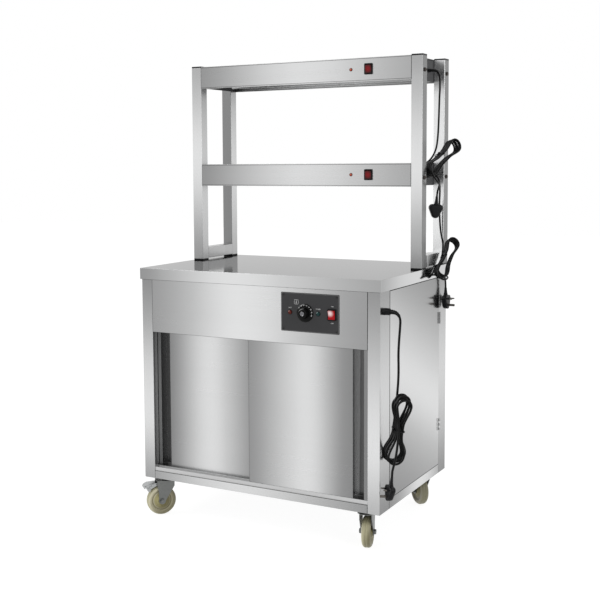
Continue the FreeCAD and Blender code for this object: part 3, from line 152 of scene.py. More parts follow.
def ramp(tree, factor, stops, smooth="B_SPLINE"):
    """A colour ramp: stops are (place, grey or colour), from 0 to 1."""
    node = tree.nodes.new("ShaderNodeValToRGB")
    node.color_ramp.interpolation = smooth
    points = node.color_ramp.elements
    while len(points) < len(stops):
        points.new(0.5)
    for point, (place, tone) in zip(points, stops):
        tone = (tone, tone, tone) if isinstance(tone, (int, float)) else tone
        point.position, point.color = place, (*tone, 1.0)
    plug_in(tree, node.inputs[0], factor)
    return Wire(tree, node.outputs[0])


def blend_colours(tree, factor, first, second, how="MIX"):
    """Two colours mixed by a factor."""
    node = tree.nodes.new("ShaderNodeMix")
    node.data_type, node.blend_type = "RGBA", how
    plug_in(tree, node.inputs[0], factor)
    for entry, colour in ((node.inputs[6], first), (node.inputs[7], second)):
        plug_in(tree, entry, colour if isinstance(colour, Wire) else (*colour, 1.0))
    return Wire(tree, node.outputs[2])


def empty_tree(owner):
    """The node tree of a material or a world, cleared."""
    owner.use_nodes = True
    owner.node_tree.nodes.clear()
    return owner.node_tree


def finish_called(name):
    """A new material with an empty tree, its coordinates and its surface shader."""
    material = bpy.data.materials.new(name)
    tree = empty_tree(material)
    skin = tree.nodes.new("ShaderNodeBsdfPrincipled")
    output = tree.nodes.new("ShaderNodeOutputMaterial")
    tree.links.new(skin.outputs[0], output.inputs[0])
    place = add(tree, "TexCoord", out=3)
    return material, tree, skin, place


def noise(tree, place, scale, detail=3.0):
    """Noise from 0 to 1, finer along each axis by that axis's scale."""
    stretched = add(tree, "Mapping", None, {"Vector": place, "Scale": scale})
    return add(tree, "TexNoise", None, {"Vector": stretched, "Scale": 1.0, "Detail": detail})


# %% [markdown]
# ## Brushed stainless steel
#
# Most of the trolley is sheet steel, ground with a belt: fine scratches run one way,
# so the sheet is satin along them and streaky across. The reflections of wide soft
# lights in the sheets are painted into the steel's colour in bands, bright in the
# middle and grey at the ends. One function makes the steel with such painted bands:
# each is a grey that changes along one direction, and may hold only for the faces
# that look one way. Fine streaks follow the grain, and a rougher shine lies in large
# soft patches. Where two sheets meet, the gap is too thin to model, so a narrow dark
# line is laid along the sheet's edge.

# %% The steel recipe
def grey(value):
    """The light that a screen value from 0 to 255 stands for."""
    share = value / 255
    return share / 12.92 if share <= 0.04045 else ((share + 0.055) / 1.055) ** 2.4


def three_ways(tree, vector):
    """The x, y and z of a vector as three wires."""
    node = tree.nodes.new("ShaderNodeSeparateXYZ")
    plug_in(tree, node.inputs[0], vector)
    return [Wire(tree, output) for output in node.outputs]


def band(along, reach, *stops, where=None):
    """A painted reflection band, a grey along a direction: stops are share, screen
    value, share and so on.

    where picks the faces: it takes the place's and the face's x, y and z as wires and
    gives 1 or 0.
    """
    pairs = zip(stops[::2], stops[1::2])
    return along, reach, [(place, grey(value)) for place, value in pairs], where


def flat(value, where=None):
    """The same grey all over."""
    return band(None, None, 0, value, where=where)


def brushed_steel_painted_reflections(name, grain, *bands, shine=0.26, streaks=0.035, lines=(), grazing=None, glow=0):
    """Steel with its grain along x, y or z, painted reflection bands, and its dark lines.

    Each line is (axis, place, half width): the steel is dark where that coordinate is
    within half a width of the place. grazing dims the shine at shallow angles, and
    glow is painted light: an emission that stands in for the light that a narrow
    channel would gather.
    """
    material, tree, skin, place = finish_called(name)
    if glow:
        skin.inputs["Emission Color"].default_value = (1.0, 1.0, 1.0, 1.0)
        skin.inputs["Emission Strength"].default_value = glow
    if grazing:
        skin.inputs["Specular Tint"].default_value = (grazing, grazing, grazing, 1.0)
    at, facing = three_ways(tree, place), three_ways(tree, add(tree, "TexCoord", out=1))
    fine = tuple(3.0 if axis == grain else 700.0 for axis in "xyz")
    broad = tuple(1.5 if axis == grain else 110.0 for axis in "xyz")
    hair = noise(tree, place, fine, 2.0)
    streak = noise(tree, place, broad, 2.0)
    cloud = noise(tree, place, (4.0,) * 3)
    tone = None
    for along, reach, stops, where in bands:
        here = (stops[0][1],) * 3
        if along:
            travel = vectors(tree, "DOT_PRODUCT", place, along, out=1)
            length = reach[1] - reach[0]
            drift = (cloud - 0.5) * (0.03 * length)
            here = ramp(tree, (travel + drift - reach[0]) / length, stops)
        tone = here if tone is None else blend_colours(tree, where(at, facing), tone, here)
    shade = (hair - 0.5) * (streaks * 0.5) + (streak - 0.5) * streaks + (cloud - 0.5) * 0.03 + 1.0
    for axis, middle, half in lines:
        node = at["xyz".index(axis)]
        shade = shade * (1.0 - node.math("COMPARE", node, middle, half) * 0.84)
    shaded = add(tree, "VectorMath", {"operation": "SCALE"}, {0: tone, "Scale": shade})
    tint = blend_colours(tree, 1.0, shaded, (0.992, 0.997, 1.0), "MULTIPLY")
    edge = add(tree, "Bevel", {"samples": 4}, {"Radius": 0.0012})
    bump = add(tree, "Bump", None, {"Strength": 0.08, "Distance": 0.0003, "Height": hair,
            "Normal": edge})
    gloss = (streak - 0.5) * 0.06 + (cloud - 0.5) * 0.05 + shine
    fill(tree, skin, {"Base Color": tint, "Metallic": 1.0, "Roughness": gloss, "Normal": bump})
    return material


def give(material, *names):
    """Puts one material on CAD nodes, in place of what the packer gave them."""
    for name in names:
        data = nodes[name].data
        data.materials.clear()
        data.materials.append(material)


def span(name, axis):
    """Lowest and highest place of a node along one axis."""
    low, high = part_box(name)
    return low["xyz".index(axis)], high["xyz".index(axis)]


def middle_of(name):
    """The middle of a node's box."""
    low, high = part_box(name)
    return (low + high) / 2


def lengthwise(name, axis, *stops, where=None):
    """A band along a node's own length on one axis."""
    way = tuple(float(axis == other) for other in "xyz")
    return band(way, span(name, axis), *stops, where=where)


def seams(name, edges, half=0.0008):
    """Dark lines on a node's edges, such as "x-" for its lowest x."""
    return [(edge[0], span(name, edge[0])["-+".index(edge[1])], half) for edge in edges.split()]


def sheet(kind, grain, names, *bands, **look):
    """Steel of one kind for the nodes that a string names."""
    give(brushed_steel_painted_reflections("steel_" + kind, grain, *bands, **look), *names.split())


def to_right(at, facing):
    """Faces that look to the right."""
    return facing[0] > 0.7


def to_top(at, facing):
    """Faces that look up."""
    return facing[2] > 0.7


# %% [markdown]
# ## Where each sheet gets its painted reflection
#
# Each sheet gets its own band of painted reflection: the fascia and the shelves along
# their length, the doors across their width, the posts from top to bottom. Some bands
# hold only for the faces that look one way. The ends of the bands come from the
# pieces' own sizes, so they stay on the pieces if the CAD model changes.

# %% Steel for the cabinet
# Every band below is a painted reflection; to_right and to_top give some faces their own.
under_lip = [("z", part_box("worktop")[0].z - 0.0006, 0.0009)]
sheet("worktop", "x", "worktop",
    lengthwise("worktop", "x", 0, 154, 0.10, 170, 0.27, 222, 0.42, 238, 0.62, 218, 1, 161),
    lengthwise("worktop", "y", 0, 182, 0.25, 235, 0.6, 250, 1, 235, where=to_right),
    flat(178, to_top), shine=0.07, streaks=0.02, grazing=0.59)
sheet("fascia", "x", "fascia",
    lengthwise("fascia", "x", 0, 151, 0.20, 193, 0.36, 233, 0.50, 229, 0.64, 215, 0.84,
        174, 1, 157),
    lines=seams("fascia", "x- x+ z-") + under_lip)
sheet("rail", "x", "bottom_rail",
    lengthwise("bottom_rail", "x", 0, 150, 0.3, 228, 0.6, 217, 1, 141),
    lines=seams("bottom_rail", "x- x+ z+"))
sheet("left_door", "x", "left_sliding_door",
    lengthwise("left_sliding_door", "x",
        0, 120, 0.16, 136, 0.34, 203, 0.50, 230, 0.64, 208, 0.84, 155, 1, 132))
recess_from = span("right_sliding_door", "y")[0] + 0.002


def in_recess(at, facing):
    """The door's faces behind its front sheet, where its band paints shade in the recess."""
    return at[1] > recess_from


sheet("right_door", "x", "right_sliding_door",
    lengthwise("right_sliding_door", "x",
        0, 145, 0.18, 177, 0.40, 221, 0.54, 227, 0.66, 195, 0.80, 141, 1, 134),
    # painted shade: the recess behind the door's front sheet darkens towards its end
    lengthwise("right_sliding_door", "x", 0, 172, 0.9, 172, 0.908, 84, 1, 66, where=in_recess),
    lines=seams("right_sliding_door", "x-"))
sheet("right_post", "z", "front_right_post rear_right_post",
    lengthwise("front_right_post", "z", 0, 184, 0.10, 203, 0.26, 234, 0.52, 217, 0.75, 179, 1, 141),
    lengthwise("front_right_post", "z", 0, 124, 0.2, 181, 0.5, 227, 0.8, 180, 1, 146,
        where=to_right),
    lines=under_lip)
sheet("left_post", "z", "front_left_post rear_left_post",
    lengthwise("front_right_post", "z", 0, 161, 0.14, 197, 0.30, 233, 0.56, 213, 0.75, 176, 1, 135),
    lines=under_lip)
side_way, side_reach = (0.0, 0.42, 0.907), (0.02, 0.86)         # the side's painted reflection band lies askew
sheet("side", "y", "side_door left_panel",
    band(side_way, side_reach,
        0, 130, 0.16, 146, 0.34, 186, 0.48, 233, 0.62, 216, 0.80, 166, 1, 130),
    shine=0.16, streaks=0.03, lines=seams("side_door", "y- y+ z- z+", half=0.001))
sheet("side_rail", "y", "side_rails fixed_hinges",
    lengthwise("side_rails", "y", 0, 133, 0.25, 164, 0.55, 233, 0.8, 217, 1, 165),
    shine=0.16, lines=seams("side_rails", "y- y+ z+"))
sheet("back", "x", "back_panel",
    lengthwise("back_panel", "x", 0, 150, 0.3, 186, 0.55, 222, 0.8, 190, 1, 150))
# The inside and the tracks glow a little: painted light that stands in for the light gathered in
# the cabinet and in the door channels.
sheet("inside", "x", "cabinet_floor inner_shelf shelf_brackets control_box", flat(170),
    shine=0.36, glow=0.03)
sheet("tracks", "x", "door_tracks", flat(180), shine=0.42, glow=0.12)

# %% Steel for the gantry
rear_from, bar_from, bar_to = 0.2, 0.09, 0.24         # along the depth, in metres


def rear_post(at, facing):
    """The rear posts' faces."""
    return at[1] > rear_from


def rear_right_side(at, facing):
    """The rear posts' faces that look to the right."""
    return rear_post(at, facing) * to_right(at, facing)


def crossbar(at, facing):
    """The bars between the posts, on the faces that look to the right."""
    return (at[1] > bar_from) * (at[1] < bar_to) * to_right(at, facing)


# Painted reflection bands on the gantry, with their own bands on the rear posts, the right faces
# and the crossbars.
sheet("right_gantry", "z", "gantry_side_right",
    lengthwise("gantry_side_right", "z",
        0, 170, 0.18, 182, 0.32, 214, 0.48, 231, 0.70, 210, 0.90, 178, 1, 166),
    lengthwise("gantry_side_right", "z", 0, 245, 0.5, 240, 1, 225, where=rear_post),
    lengthwise("gantry_side_right", "z", 0, 122, 0.5, 130, 1, 117, where=to_right),
    flat(238, crossbar))
sheet("left_gantry", "z", "gantry_side_left",
    lengthwise("gantry_side_right", "z", 0, 147, 0.2, 182, 0.40, 222, 0.60, 229, 0.8, 198, 1, 170),
    lengthwise("gantry_side_right", "z", 0, 179, 0.4, 214, 0.75, 178, 1, 146, where=to_right),
    flat(136, rear_post),
    lengthwise("gantry_side_right", "z", 0, 169, 0.4, 222, 0.8, 186, 1, 124, where=rear_right_side))
# Painted shade: dark lines along the shelves' folds, three millimetres in from their top and bottom
# edges.
shelf_fold_shade = [("z", place + inward * 0.003, 0.0007) for shelf in ("top_shelf", "mid_shelf")
    for place, inward in zip(span(shelf, "z"), (1, -1))]
sheet("shelf", "x", "top_shelf mid_shelf",
    lengthwise("top_shelf", "x", 0, 140, 0.20, 181, 0.42, 220, 0.56, 219, 0.72, 208, 1, 163),
    shine=0.28, lines=seams("top_shelf", "x- x+") + shelf_fold_shade)
sheet("reflector", "x", "reflectors", flat(205), shine=0.10, streaks=0.02)
print("steel on", sum(1 for n in nodes.values() if n.data.materials and
        n.data.materials[0].name.startswith("steel")), "nodes")

# %% [markdown]
# ## Plastics, rubber, zinc and nylon
#
# The small parts are moulded or plated. A moulded black part is never one black: its
# gloss changes a little from place to place, and a fine texture from the mould
# scatters the light. Zinc plate has a grey, slightly mottled shine. Many plastics also
# get painted highlights, lighter where the skin faces one way or round one place.
# The wheels are cream nylon in rings, darker and yellower round the hub, with painted
# shade in the groove round the hub, over the tread and on each wheel's shady side.

# %% Plain finishes from one recipe
def unit(vector):
    vector = np.asarray(vector, float)
    return vector / np.linalg.norm(vector)


def moulded(name, colour, rough, grain=900.0, metallic=0.0, vary=0.12, blotch=60.0, specular=0.5,
        glint=None, spot=None):
    """A moulded or plated finish: colour with soft blotches, uneven gloss, fine bumps.

    A glint is a painted highlight (share, colour, way): the colour where the skin faces
    that way, from a share of 1 on. A spot is a painted highlight (middle, radius,
    colour): the colour round a place.
    """
    material, tree, skin, place = finish_called(name)
    blotches = noise(tree, place, (blotch,) * 3)
    fine = noise(tree, place, (grain,) * 3, 2.0)
    darker = tuple(c * (1 - vary) for c in colour)
    lighter = tuple(min(1.0, c * (1 + vary)) for c in colour)
    tone = blend_colours(tree, blotches, darker, lighter)
    if glint:
        share, colour, *way = glint
        way = unit(way[0] if way else painted_highlight_way)
        lit = ramp(tree, faces(tree, way), [(share, 0), (1, 1)], "EASE")
        tone = blend_colours(tree, lit, tone, colour)
    if spot:
        middle, radius, colour = spot
        away = vectors(tree, "DISTANCE", place, middle, out=1) / radius
        tone = blend_colours(tree, ramp(tree, away, [(0.12, 1), (1, 0)], "EASE"), tone, colour)
    skin.inputs["Specular IOR Level"].default_value = specular
    bump = add(tree, "Bump", None, {"Strength": 0.4, "Distance": 0.0002, "Height": fine})
    gloss = (fine - 0.5) * 0.10 + (blotches - 0.5) * 0.12 + rough
    fill(tree, skin, {"Base Color": tone, "Metallic": metallic, "Roughness": gloss, "Normal": bump})
    return material


painted_highlight_way = (-0.35, -0.80, 0.48)          # the way that the painted highlights on the plastics face
# The red key gets a painted highlight, a whitish spot round a point at the upper left of its front.
key_low, key_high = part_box("cabinet_rocker")
key_glint = (key_low.x * 0.66 + key_high.x * 0.34, key_low.y, key_low.z * 0.34 + key_high.z * 0.66)
# Painted highlights: each glint below lays a lighter colour where the skin faces a way, on the
# plastics, rubber, lenses and the dial's cap.
black_panel = moulded("black_panel", (0.038, 0.038, 0.040), 0.36, blotch=14.0, vary=0.06,
    specular=0.25)
black_plastic = moulded("black_plastic", (0.007, 0.007, 0.008), 0.34, specular=0.12,
    glint=(0.90, (0.06, 0.06, 0.06)))
black_knob = moulded("black_knob", (0.003, 0.003, 0.003), 0.22, specular=0.10,
    glint=(0.76, (0.42, 0.42, 0.42), (-0.45, -0.50, 0.74)))
dark_plate = moulded("dark_plate", (0.030, 0.030, 0.032), 0.42, specular=0.3)
rubber = moulded("cord_rubber", (0.004, 0.004, 0.004), 0.34, grain=1400.0, specular=0.10,
    glint=(0.80, (0.055, 0.055, 0.056)))
plug_black = moulded("plug_moulding", (0.005, 0.005, 0.006), 0.32, grain=1200.0, specular=0.14,
    glint=(0.82, (0.05, 0.05, 0.052)))
red_key = moulded("red_key", (0.42, 0.002, 0.006), 0.20, vary=0.2, specular=0.15,
    spot=(key_glint, 0.0150, (0.95, 0.74, 0.74)))
red_lens = moulded("red_lens", (0.10, 0.010, 0.005), 0.16, specular=0.2,
    glint=(0.93, (0.75, 0.42, 0.36)))
amber_lens = moulded("amber_lens", (0.50, 0.09, 0.05), 0.20, specular=0.2,
    glint=(0.93, (0.85, 0.60, 0.50)))
green_lens = moulded("green_lens", (0.003, 0.034, 0.034), 0.14, specular=0.2,
    glint=(0.93, (0.45, 0.60, 0.58)))
ceramic = moulded("ceramic", (0.74, 0.72, 0.66), 0.45)
white_print = moulded("white_print", (0.62, 0.62, 0.62), 0.5)
edge_highlight_grey = moulded("edge_highlight_grey", (0.16, 0.16, 0.16), 0.35)
zinc = moulded("zinc_plate", (0.17, 0.175, 0.17), 0.34, metallic=1.0, blotch=120.0, vary=0.16)
pale_zinc = moulded("pale_zinc", (0.40, 0.41, 0.41), 0.30, metallic=1.0, blotch=120.0, vary=0.16)
dark_bolt = moulded("dark_bolt", (0.055, 0.045, 0.040), 0.38, metallic=0.4)
screw_steel = moulded("screw_steel", (0.05, 0.05, 0.05), 0.35, metallic=1.0)
cap_metal = moulded("cap_metal", (0.17, 0.17, 0.18), 0.28, metallic=1.0,
    glint=(0.90, (0.6, 0.6, 0.6), (-0.3, -0.8, 0.5)))
element_steel = moulded("element_steel", (0.20, 0.19, 0.19), 0.42, metallic=1.0)
pin_metal = moulded("pin_metal", (0.13, 0.12, 0.11), 0.28, metallic=1.0)

give(black_panel, "control_plate")
give(black_plastic, "thermostat_body", "switch_housings", "post_end_plugs", "cord_clamps")
give(dark_plate, "shelf_end_plates")
give(zinc, "castor_plates", *[n for n in nodes if n.startswith("fork_")])
give(pale_zinc, *[n for n in nodes if n.startswith("brake_pedal_")])
give(element_steel, "heating_element")
give(red_key, "cabinet_rocker")
# Each shelf rocker gets a painted highlight: a brighter red round its key's middle.
for name in ("mid_shelf_rocker", "top_shelf_rocker"):
    middle = middle_of(name)
    give(moulded("dim_" + name, (0.030, 0.008, 0.008), 0.24, specular=0.2,
            spot=((middle.x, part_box(name)[0].y, middle.z), 0.017, (0.24, 0.006, 0.010))), name)

# %% Cream nylon for the wheels
def nylon_painted_shade(name, shady_way, dim):
    """Cream nylon in rings round a wheel's middle, with olive painted shade on its shady side.

    The rings follow the distance from the middle, counted in wheel radii: the tread's
    edges lie a little beyond 1, and a groove runs round the hub at two thirds. The
    rings paint shade in the groove, over the tread and at its edges, and dim scales
    the whole colour down, as painted shade on the rear wheels.
    """
    material, tree, skin, place = finish_called(name)
    low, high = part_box(name)
    radius = (high.z - low.z) / 2
    offset = vectors(tree, "SUBTRACT", place, middle_of(name))
    distance = vectors(tree, "LENGTH", offset, None, out=1) / radius
    shade = vectors(tree, "DOT_PRODUCT", offset, shady_way, out=1) / radius
    blotches = noise(tree, place, (40.0,) * 3)
    cream, yellow, olive = (0.68, 0.64, 0.46), (0.44, 0.40, 0.18), (0.16, 0.14, 0.05)
    rings = ramp(tree, distance * 0.9, [(0.0, yellow), (0.48, yellow), (0.56, cream), (0.60, olive),
            (0.64, cream), (0.84, cream), (0.90, (0.50, 0.47, 0.30)),
            (0.95, olive)], "EASE")
    shaded = ramp(tree, (shade + faces(tree, shady_way)) * 0.4 + (blotches - 0.5) * 0.1 + 0.4,
        [(0.30, 0.0), (0.95, 0.85)], "EASE")
    tone = blend_colours(tree, shaded, rings, (0.10, 0.085, 0.03))
    tone = add(tree, "VectorMath", {"operation": "SCALE"}, {0: tone, "Scale": dim})
    fine = noise(tree, place, (800.0,) * 3, 2.0)
    bump = add(tree, "Bump", None, {"Strength": 0.3, "Distance": 0.0002, "Height": fine})
    gloss = (blotches - 0.5) * 0.2 + 0.42
    fill(tree, skin, {"Base Color": tone, "Roughness": gloss, "Normal": bump})
    return material


for name in [n for n in nodes if n.startswith("wheel_")]:
    # The rear wheels are dimmed to four tenths: painted shade.
    shady_way, dim = ((0.9, 0, -0.45), 1.0) if "front" in name else ((-0.9, 0.1, 0.3), 0.40)
    give(nylon_painted_shade(name, shady_way, dim), name)

# %% [markdown]
# ## Small pieces as stacks of outlines
#
# A knob, a lamp, a screw head, a plug and a cable tie are all the same kind of
# surface: a closed outline, such as a circle or a rectangle with round corners,
# that is carried along a line and grows or shrinks on the way. The outlines are
# rows of a grid, worked out as whole numpy arrays. One function puts the faces
# between the rows, closes both ends and turns the faces outwards.

# %% Outlines and the skin over them
millimetre = 0.001


def skin(rows, wrap=False):
    """Points and faces over rows of outline points, an array (rows, points, 3).

    Each row is joined to the next. The first and last rows are closed by a face each,
    or with wrap the last row is joined to the first. If the volume inside, the sum of
    the triangles' triple products, comes out negative, every face is turned over.
    """
    count, width = rows.shape[:2]
    points = rows.reshape(-1, 3)
    row = np.arange(count if wrap else count - 1)[:, None] * width
    column = np.arange(width)
    after = (column + 1) % width
    above = (row + width) % (count * width)
    quads = np.stack([row + column, row + after, above + after, above + column], -1).reshape(-1, 4)
    fans = np.concatenate([quads[:, [0, 1, 2]], quads[:, [0, 2, 3]]])
    ends = []
    if not wrap:
        ends = [column[::-1], column + (count - 1) * width]
        for end in ends:
            fans = np.concatenate([fans, np.c_[np.full(width - 2, end[0]), end[1:-1], end[2:]]])
    a, b, c = points[fans[:, 0]], points[fans[:, 1]], points[fans[:, 2]]
    step = 1 if np.einsum("ij,ij->", a, np.cross(b, c)) > 0 else -1
    return points, [list(face[::step]) for face in quads.tolist() + [e.tolist() for e in ends]]


def turned(profile, origin, axis, sides=40, flats=0):
    """A profile of (radius, distance along the axis) turned round the axis, in millimetres.

    With flats the outline is a regular polygon: each radius is divided by the cosine of
    the angle to the nearest flat's middle.
    """
    radius, reach = np.array(profile, float).T[:, :, None] * millimetre
    angle = 2 * np.pi * (np.arange(sides) + 0.5) / sides
    if flats:
        radius = radius / np.cos((angle + np.pi / flats) % (2 * np.pi / flats) - np.pi / flats)
    axis = unit(axis)
    side = unit(np.cross(axis, (0.31, 0.52, 0.79)))
    spokes = np.outer(np.cos(angle), side) + np.outer(np.sin(angle), np.cross(axis, side))
    return skin(np.asarray(origin) + reach[..., None] * axis + radius[..., None] * spokes)


def oblong(width, height, corner, inset, steps):
    """A rectangle with round corners, drawn in by an inset, as points (n, 2)."""
    corner = max(corner - inset, 0.02 * min(width, height))
    a, b = width / 2 - inset - corner, height / 2 - inset - corner
    turn = np.radians(np.linspace(0, 90, steps))
    middles = np.repeat([(a, b), (-a, b), (-a, -b), (a, -b)], steps, axis=0)
    turn = (turn + np.arange(4)[:, None] * np.pi / 2).ravel()
    return middles + corner * np.c_[np.cos(turn), np.sin(turn)]


def stacked(outline, levels, origin, right, up, wrap=False):
    """An outline carried outwards: levels are (inset, distance out), in millimetres."""
    right, up = unit(right), unit(up)
    out = np.cross(right, up)
    rows = []
    for inset, reach in levels:
        flat = outline(inset) * millimetre
        rows.append(flat[:, :1] * right + flat[:, 1:] * up + out * reach * millimetre)
    return skin(np.asarray(origin) + np.array(rows), wrap)


def slab(size, levels, origin, right, up, wrap=False, steps=7):
    """Stacked rectangles with round corners: size is width, height and corner."""
    return stacked(lambda inset: oblong(*size, inset, steps), levels, origin, right, up, wrap)


def swept(line, radii, sides):
    """A round tube of changing radius along a line of points, in metres."""
    way = np.gradient(line, axis=0)
    way /= np.linalg.norm(way, axis=1)[:, None]
    side = np.cross(way, (0.22, 0.35, 0.91))
    side /= np.linalg.norm(side, axis=1)[:, None]
    other = np.cross(way, side)
    angle = 2 * np.pi * np.arange(sides) / sides
    spokes = (np.cos(angle)[:, None] * side[:, None] + np.sin(angle)[:, None] * other[:, None])
    return skin(line[:, None] + radii[:, None, None] * spokes)


def piece(name, shapes, materials, body, slot, *replaced, crisp=34.0):
    """One object from several skins. Each skin may name the number of its material."""
    points, faces, kinds, start = [], [], [], 0
    for shape in shapes:
        points.append(shape[0])
        faces += (np.array(face) + start for face in shape[1])
        kinds += [shape[2] if len(shape) > 2 else 0] * len(shape[1])
        start += len(shape[0])
    mesh = bpy.data.meshes.new(name)
    mesh.from_pydata(np.concatenate(points).tolist(), [], [face.tolist() for face in faces])
    for material in materials if isinstance(materials, (list, tuple)) else [materials]:
        mesh.materials.append(material)
    mesh.polygons.foreach_set("material_index", kinds)
    mesh.polygons.foreach_set("use_smooth", [True] * len(faces))
    mesh.set_sharp_from_angle(angle=math.radians(crisp))
    made = placed(name, mesh)
    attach(made, body)
    if replaced:
        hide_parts(*replaced)
    print(name, len(mesh.vertices), "points")


# %% [markdown]
# ## The control panel
#
# The panel is a black plate with a thermostat dial, two signal lamps and a rocker
# switch. The CAD model has them as plain turned solids. Here the dial gets its
# gripped knob, a metal cap in the middle and white numbers round its skirt, the
# lamps get domed lenses in thin rims, and the plate its white words. The numbers
# are text turned into mesh, each laid on the skirt's slope.

# %% The dial's knob and skirt
dial_middle = middle_of("thermostat_dial")
plate_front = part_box("control_plate")[0].y
dial_seat = np.array([dial_middle.x, plate_front - 0.0005, dial_middle.z])
front = np.array((0.0, -1.0, 0.0))
skirt = turned([(27.5, 0), (28.8, 0.3), (29.0, 1.0), (28.8, 1.8), (28.0, 2.4), (22.4, 5.0),
        (19.0, 5.6), (18.6, 5.6)], dial_seat, front, sides=72)


def gripped_knob(seat, height, wide, narrow, grips=18):
    """A knob with a scalloped side: its radius dips by half a millimetre for each grip."""
    angle = 2 * np.pi * np.arange(144) / 144
    rise = np.append([5.0, 5.6, 7.0, 10.0, 14.0], height - np.array([3.4, 2.0, 1.0, 0.4, 0, 0]))
    share = np.clip((rise - 7.0) / (height - 10.4), 0, 1)
    radius = wide + (narrow - wide) * share - np.array([0, 0, 0, 0, 0, 0, 0.5, 1.3, 2.3, 3.8, 5.6])
    depth = np.array([0.0, 0.1, 0.5, 0.6, 0.6, 0.6, 0.5, 0.3, 0.1, 0.0, 0.0])
    reach = radius[:, None] - depth[:, None] * (0.5 + 0.5 * np.cos(grips * angle))
    out = np.broadcast_to(-rise[:, None], reach.shape)
    rows = np.stack([reach * np.cos(angle), out, reach * np.sin(angle)], -1)
    return skin(seat + rows * millimetre)


knob = gripped_knob(dial_seat, 22.2, 17.4, 15.4)
cap = turned([(7.2, 21.6), (7.2, 22.4), (6.8, 22.8), (6.2, 22.9), (5.8, 22.6), (2.0, 22.4),
        (0.3, 22.4)], dial_seat, front, sides=48)
piece("dial_knob", [skirt, knob, (*cap, 1)], [black_knob, cap_metal], "dial", "control_black",
    "thermostat_dial")

# %% White numbers and words
letter_lift = 0.00012                     # how far print stands off its ground


def lettering(words, size, centre, right, up):
    """Points and faces of a word laid flat: its middle at centre, its height in metres."""
    curve = bpy.data.curves.new("word", "FONT")
    curve.body, curve.size = words, size * 1.38
    curve.align_x, curve.align_y = "CENTER", "CENTER"
    curve.extrude, curve.offset = 0.00004, size * 0.012
    curve.resolution_u = 3
    carrier = bpy.data.objects.new("word", curve)
    flat = bpy.data.meshes.new_from_object(carrier)
    local = np.empty(len(flat.vertices) * 3)
    flat.vertices.foreach_get("co", local)
    local = local.reshape(-1, 3)
    right, up = unit(right), unit(up)
    out = np.cross(right, up)
    points = np.asarray(centre) + local @ np.array([right, up, out]) + out * letter_lift
    faces = [list(polygon.vertices) for polygon in flat.polygons]
    bpy.data.objects.remove(carrier)
    bpy.data.curves.remove(curve)
    bpy.data.meshes.remove(flat)
    return points, faces


numbers = []
first_turn, turn_step = 140, 22           # degrees
ring_radius, ring_out = 0.0252, 0.0037    # where the ring of numbers lies on the skirt
slope_radial, slope_out = unit((2.6, 5.6))
for place_on_dial in range(8):
    turn = math.radians(first_turn - turn_step * place_on_dial)
    outwards = np.array((math.cos(turn), 0.0, math.sin(turn)))
    right = np.array((math.sin(turn), 0.0, -math.cos(turn)))
    up = outwards * slope_out - front * slope_radial
    centre = dial_seat + outwards * ring_radius + front * ring_out
    numbers.append(lettering(str(30 + 10 * place_on_dial), 0.0036, centre, right, up))
piece("dial_numbers", numbers, white_print, "dial", "control_black")


def on_plate(x, z):
    """A point on the plate's face, in millimetres right of and above the dial's middle."""
    return np.array((dial_middle.x, plate_front, dial_middle.z)) + np.array((x, 0, z)) * millimetre


flat_right, flat_up = (1.0, 0.0, 0.0), (0.0, 0.0, 1.0)
words = [lettering(word, size, on_plate(x, z), flat_right, flat_up) for word, size, x, z in (
    ("HEAT", 0.0034, -54, 14.5), ("POWER", 0.0034, 46, 15.0), ("ON", 0.0038, 95, 26.0),
    ("OFF", 0.0038, 95, -27.0))]
icon_edge = slab((15, 15, 3.2), [(0, 0.0), (0, 0.12), (0.9, 0.12), (0.9, 0.0)],
    on_plate(-31.5, 34), flat_right, flat_up, wrap=True)
icon_stem = slab((1.8, 7.0, 0.9), [(0, 0.0), (0.05, 0.12)], on_plate(-31.5, 35),
    flat_right, flat_up)
icon_bulb = turned([(2.0, 0.0), (2.0, 0.12), (0.3, 0.12)], on_plate(-31.5, 30.8), front, sides=20)
piece("panel_print", words + [icon_edge, icon_stem, icon_bulb], white_print, "trolley",
    "control_black")

# %% Signal lamps
def signal_lamp(middle, radius, height):
    """A domed lens in a thin rim: the dome is a quarter ellipse, turned round."""
    glass = radius - 0.9
    turn = np.radians(np.linspace(90, 4, 9))
    dome = [(glass, 0.2), *zip(glass * np.sin(turn), 0.8 + (height - 0.8) * np.cos(turn))]
    rim = [(glass, 0.0), (radius, 0.0), (radius + 0.4, 0.3), (radius + 0.4, 1.0), (radius, 1.5),
        (radius - 0.5, 1.6), (glass, 1.2)]
    return turned(dome, middle, front, sides=32), turned(rim, middle, front, sides=32)


def lamps_piece(name, middles, lens, slot, node):
    """Lamps at middles (place, radius, height, material number), in one piece."""
    shapes = []
    for middle, radius, height, kind in middles:
        lens_skin, rim_skin = signal_lamp(middle, radius, height)
        shapes += [(*lens_skin, kind), (*rim_skin, 1)]
    piece(name, shapes, [lens, black_plastic, amber_lens], "trolley", slot, node)


shelf_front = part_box("mid_shelf")[0].y
left_of_key = 0.065                       # from a shelf's rocker key to its lamp
shelf_keys = [middle_of(name) for name in ("mid_shelf_rocker", "top_shelf_rocker")]
shelf_lamps = [((key.x - left_of_key, shelf_front, key.z), 5.2, 3.4, 2) for key in shelf_keys]
lamps_piece("red_signal_lamps", [(on_plate(-54, 0), 7.4, 4.8, 0)] + shelf_lamps, red_lens,
    "red_lens", "red_lamps")
lamps_piece("green_signal_lamp", [(on_plate(46, 0), 7.4, 4.8, 0)], green_lens,
    "green_lens", "green_lamp")

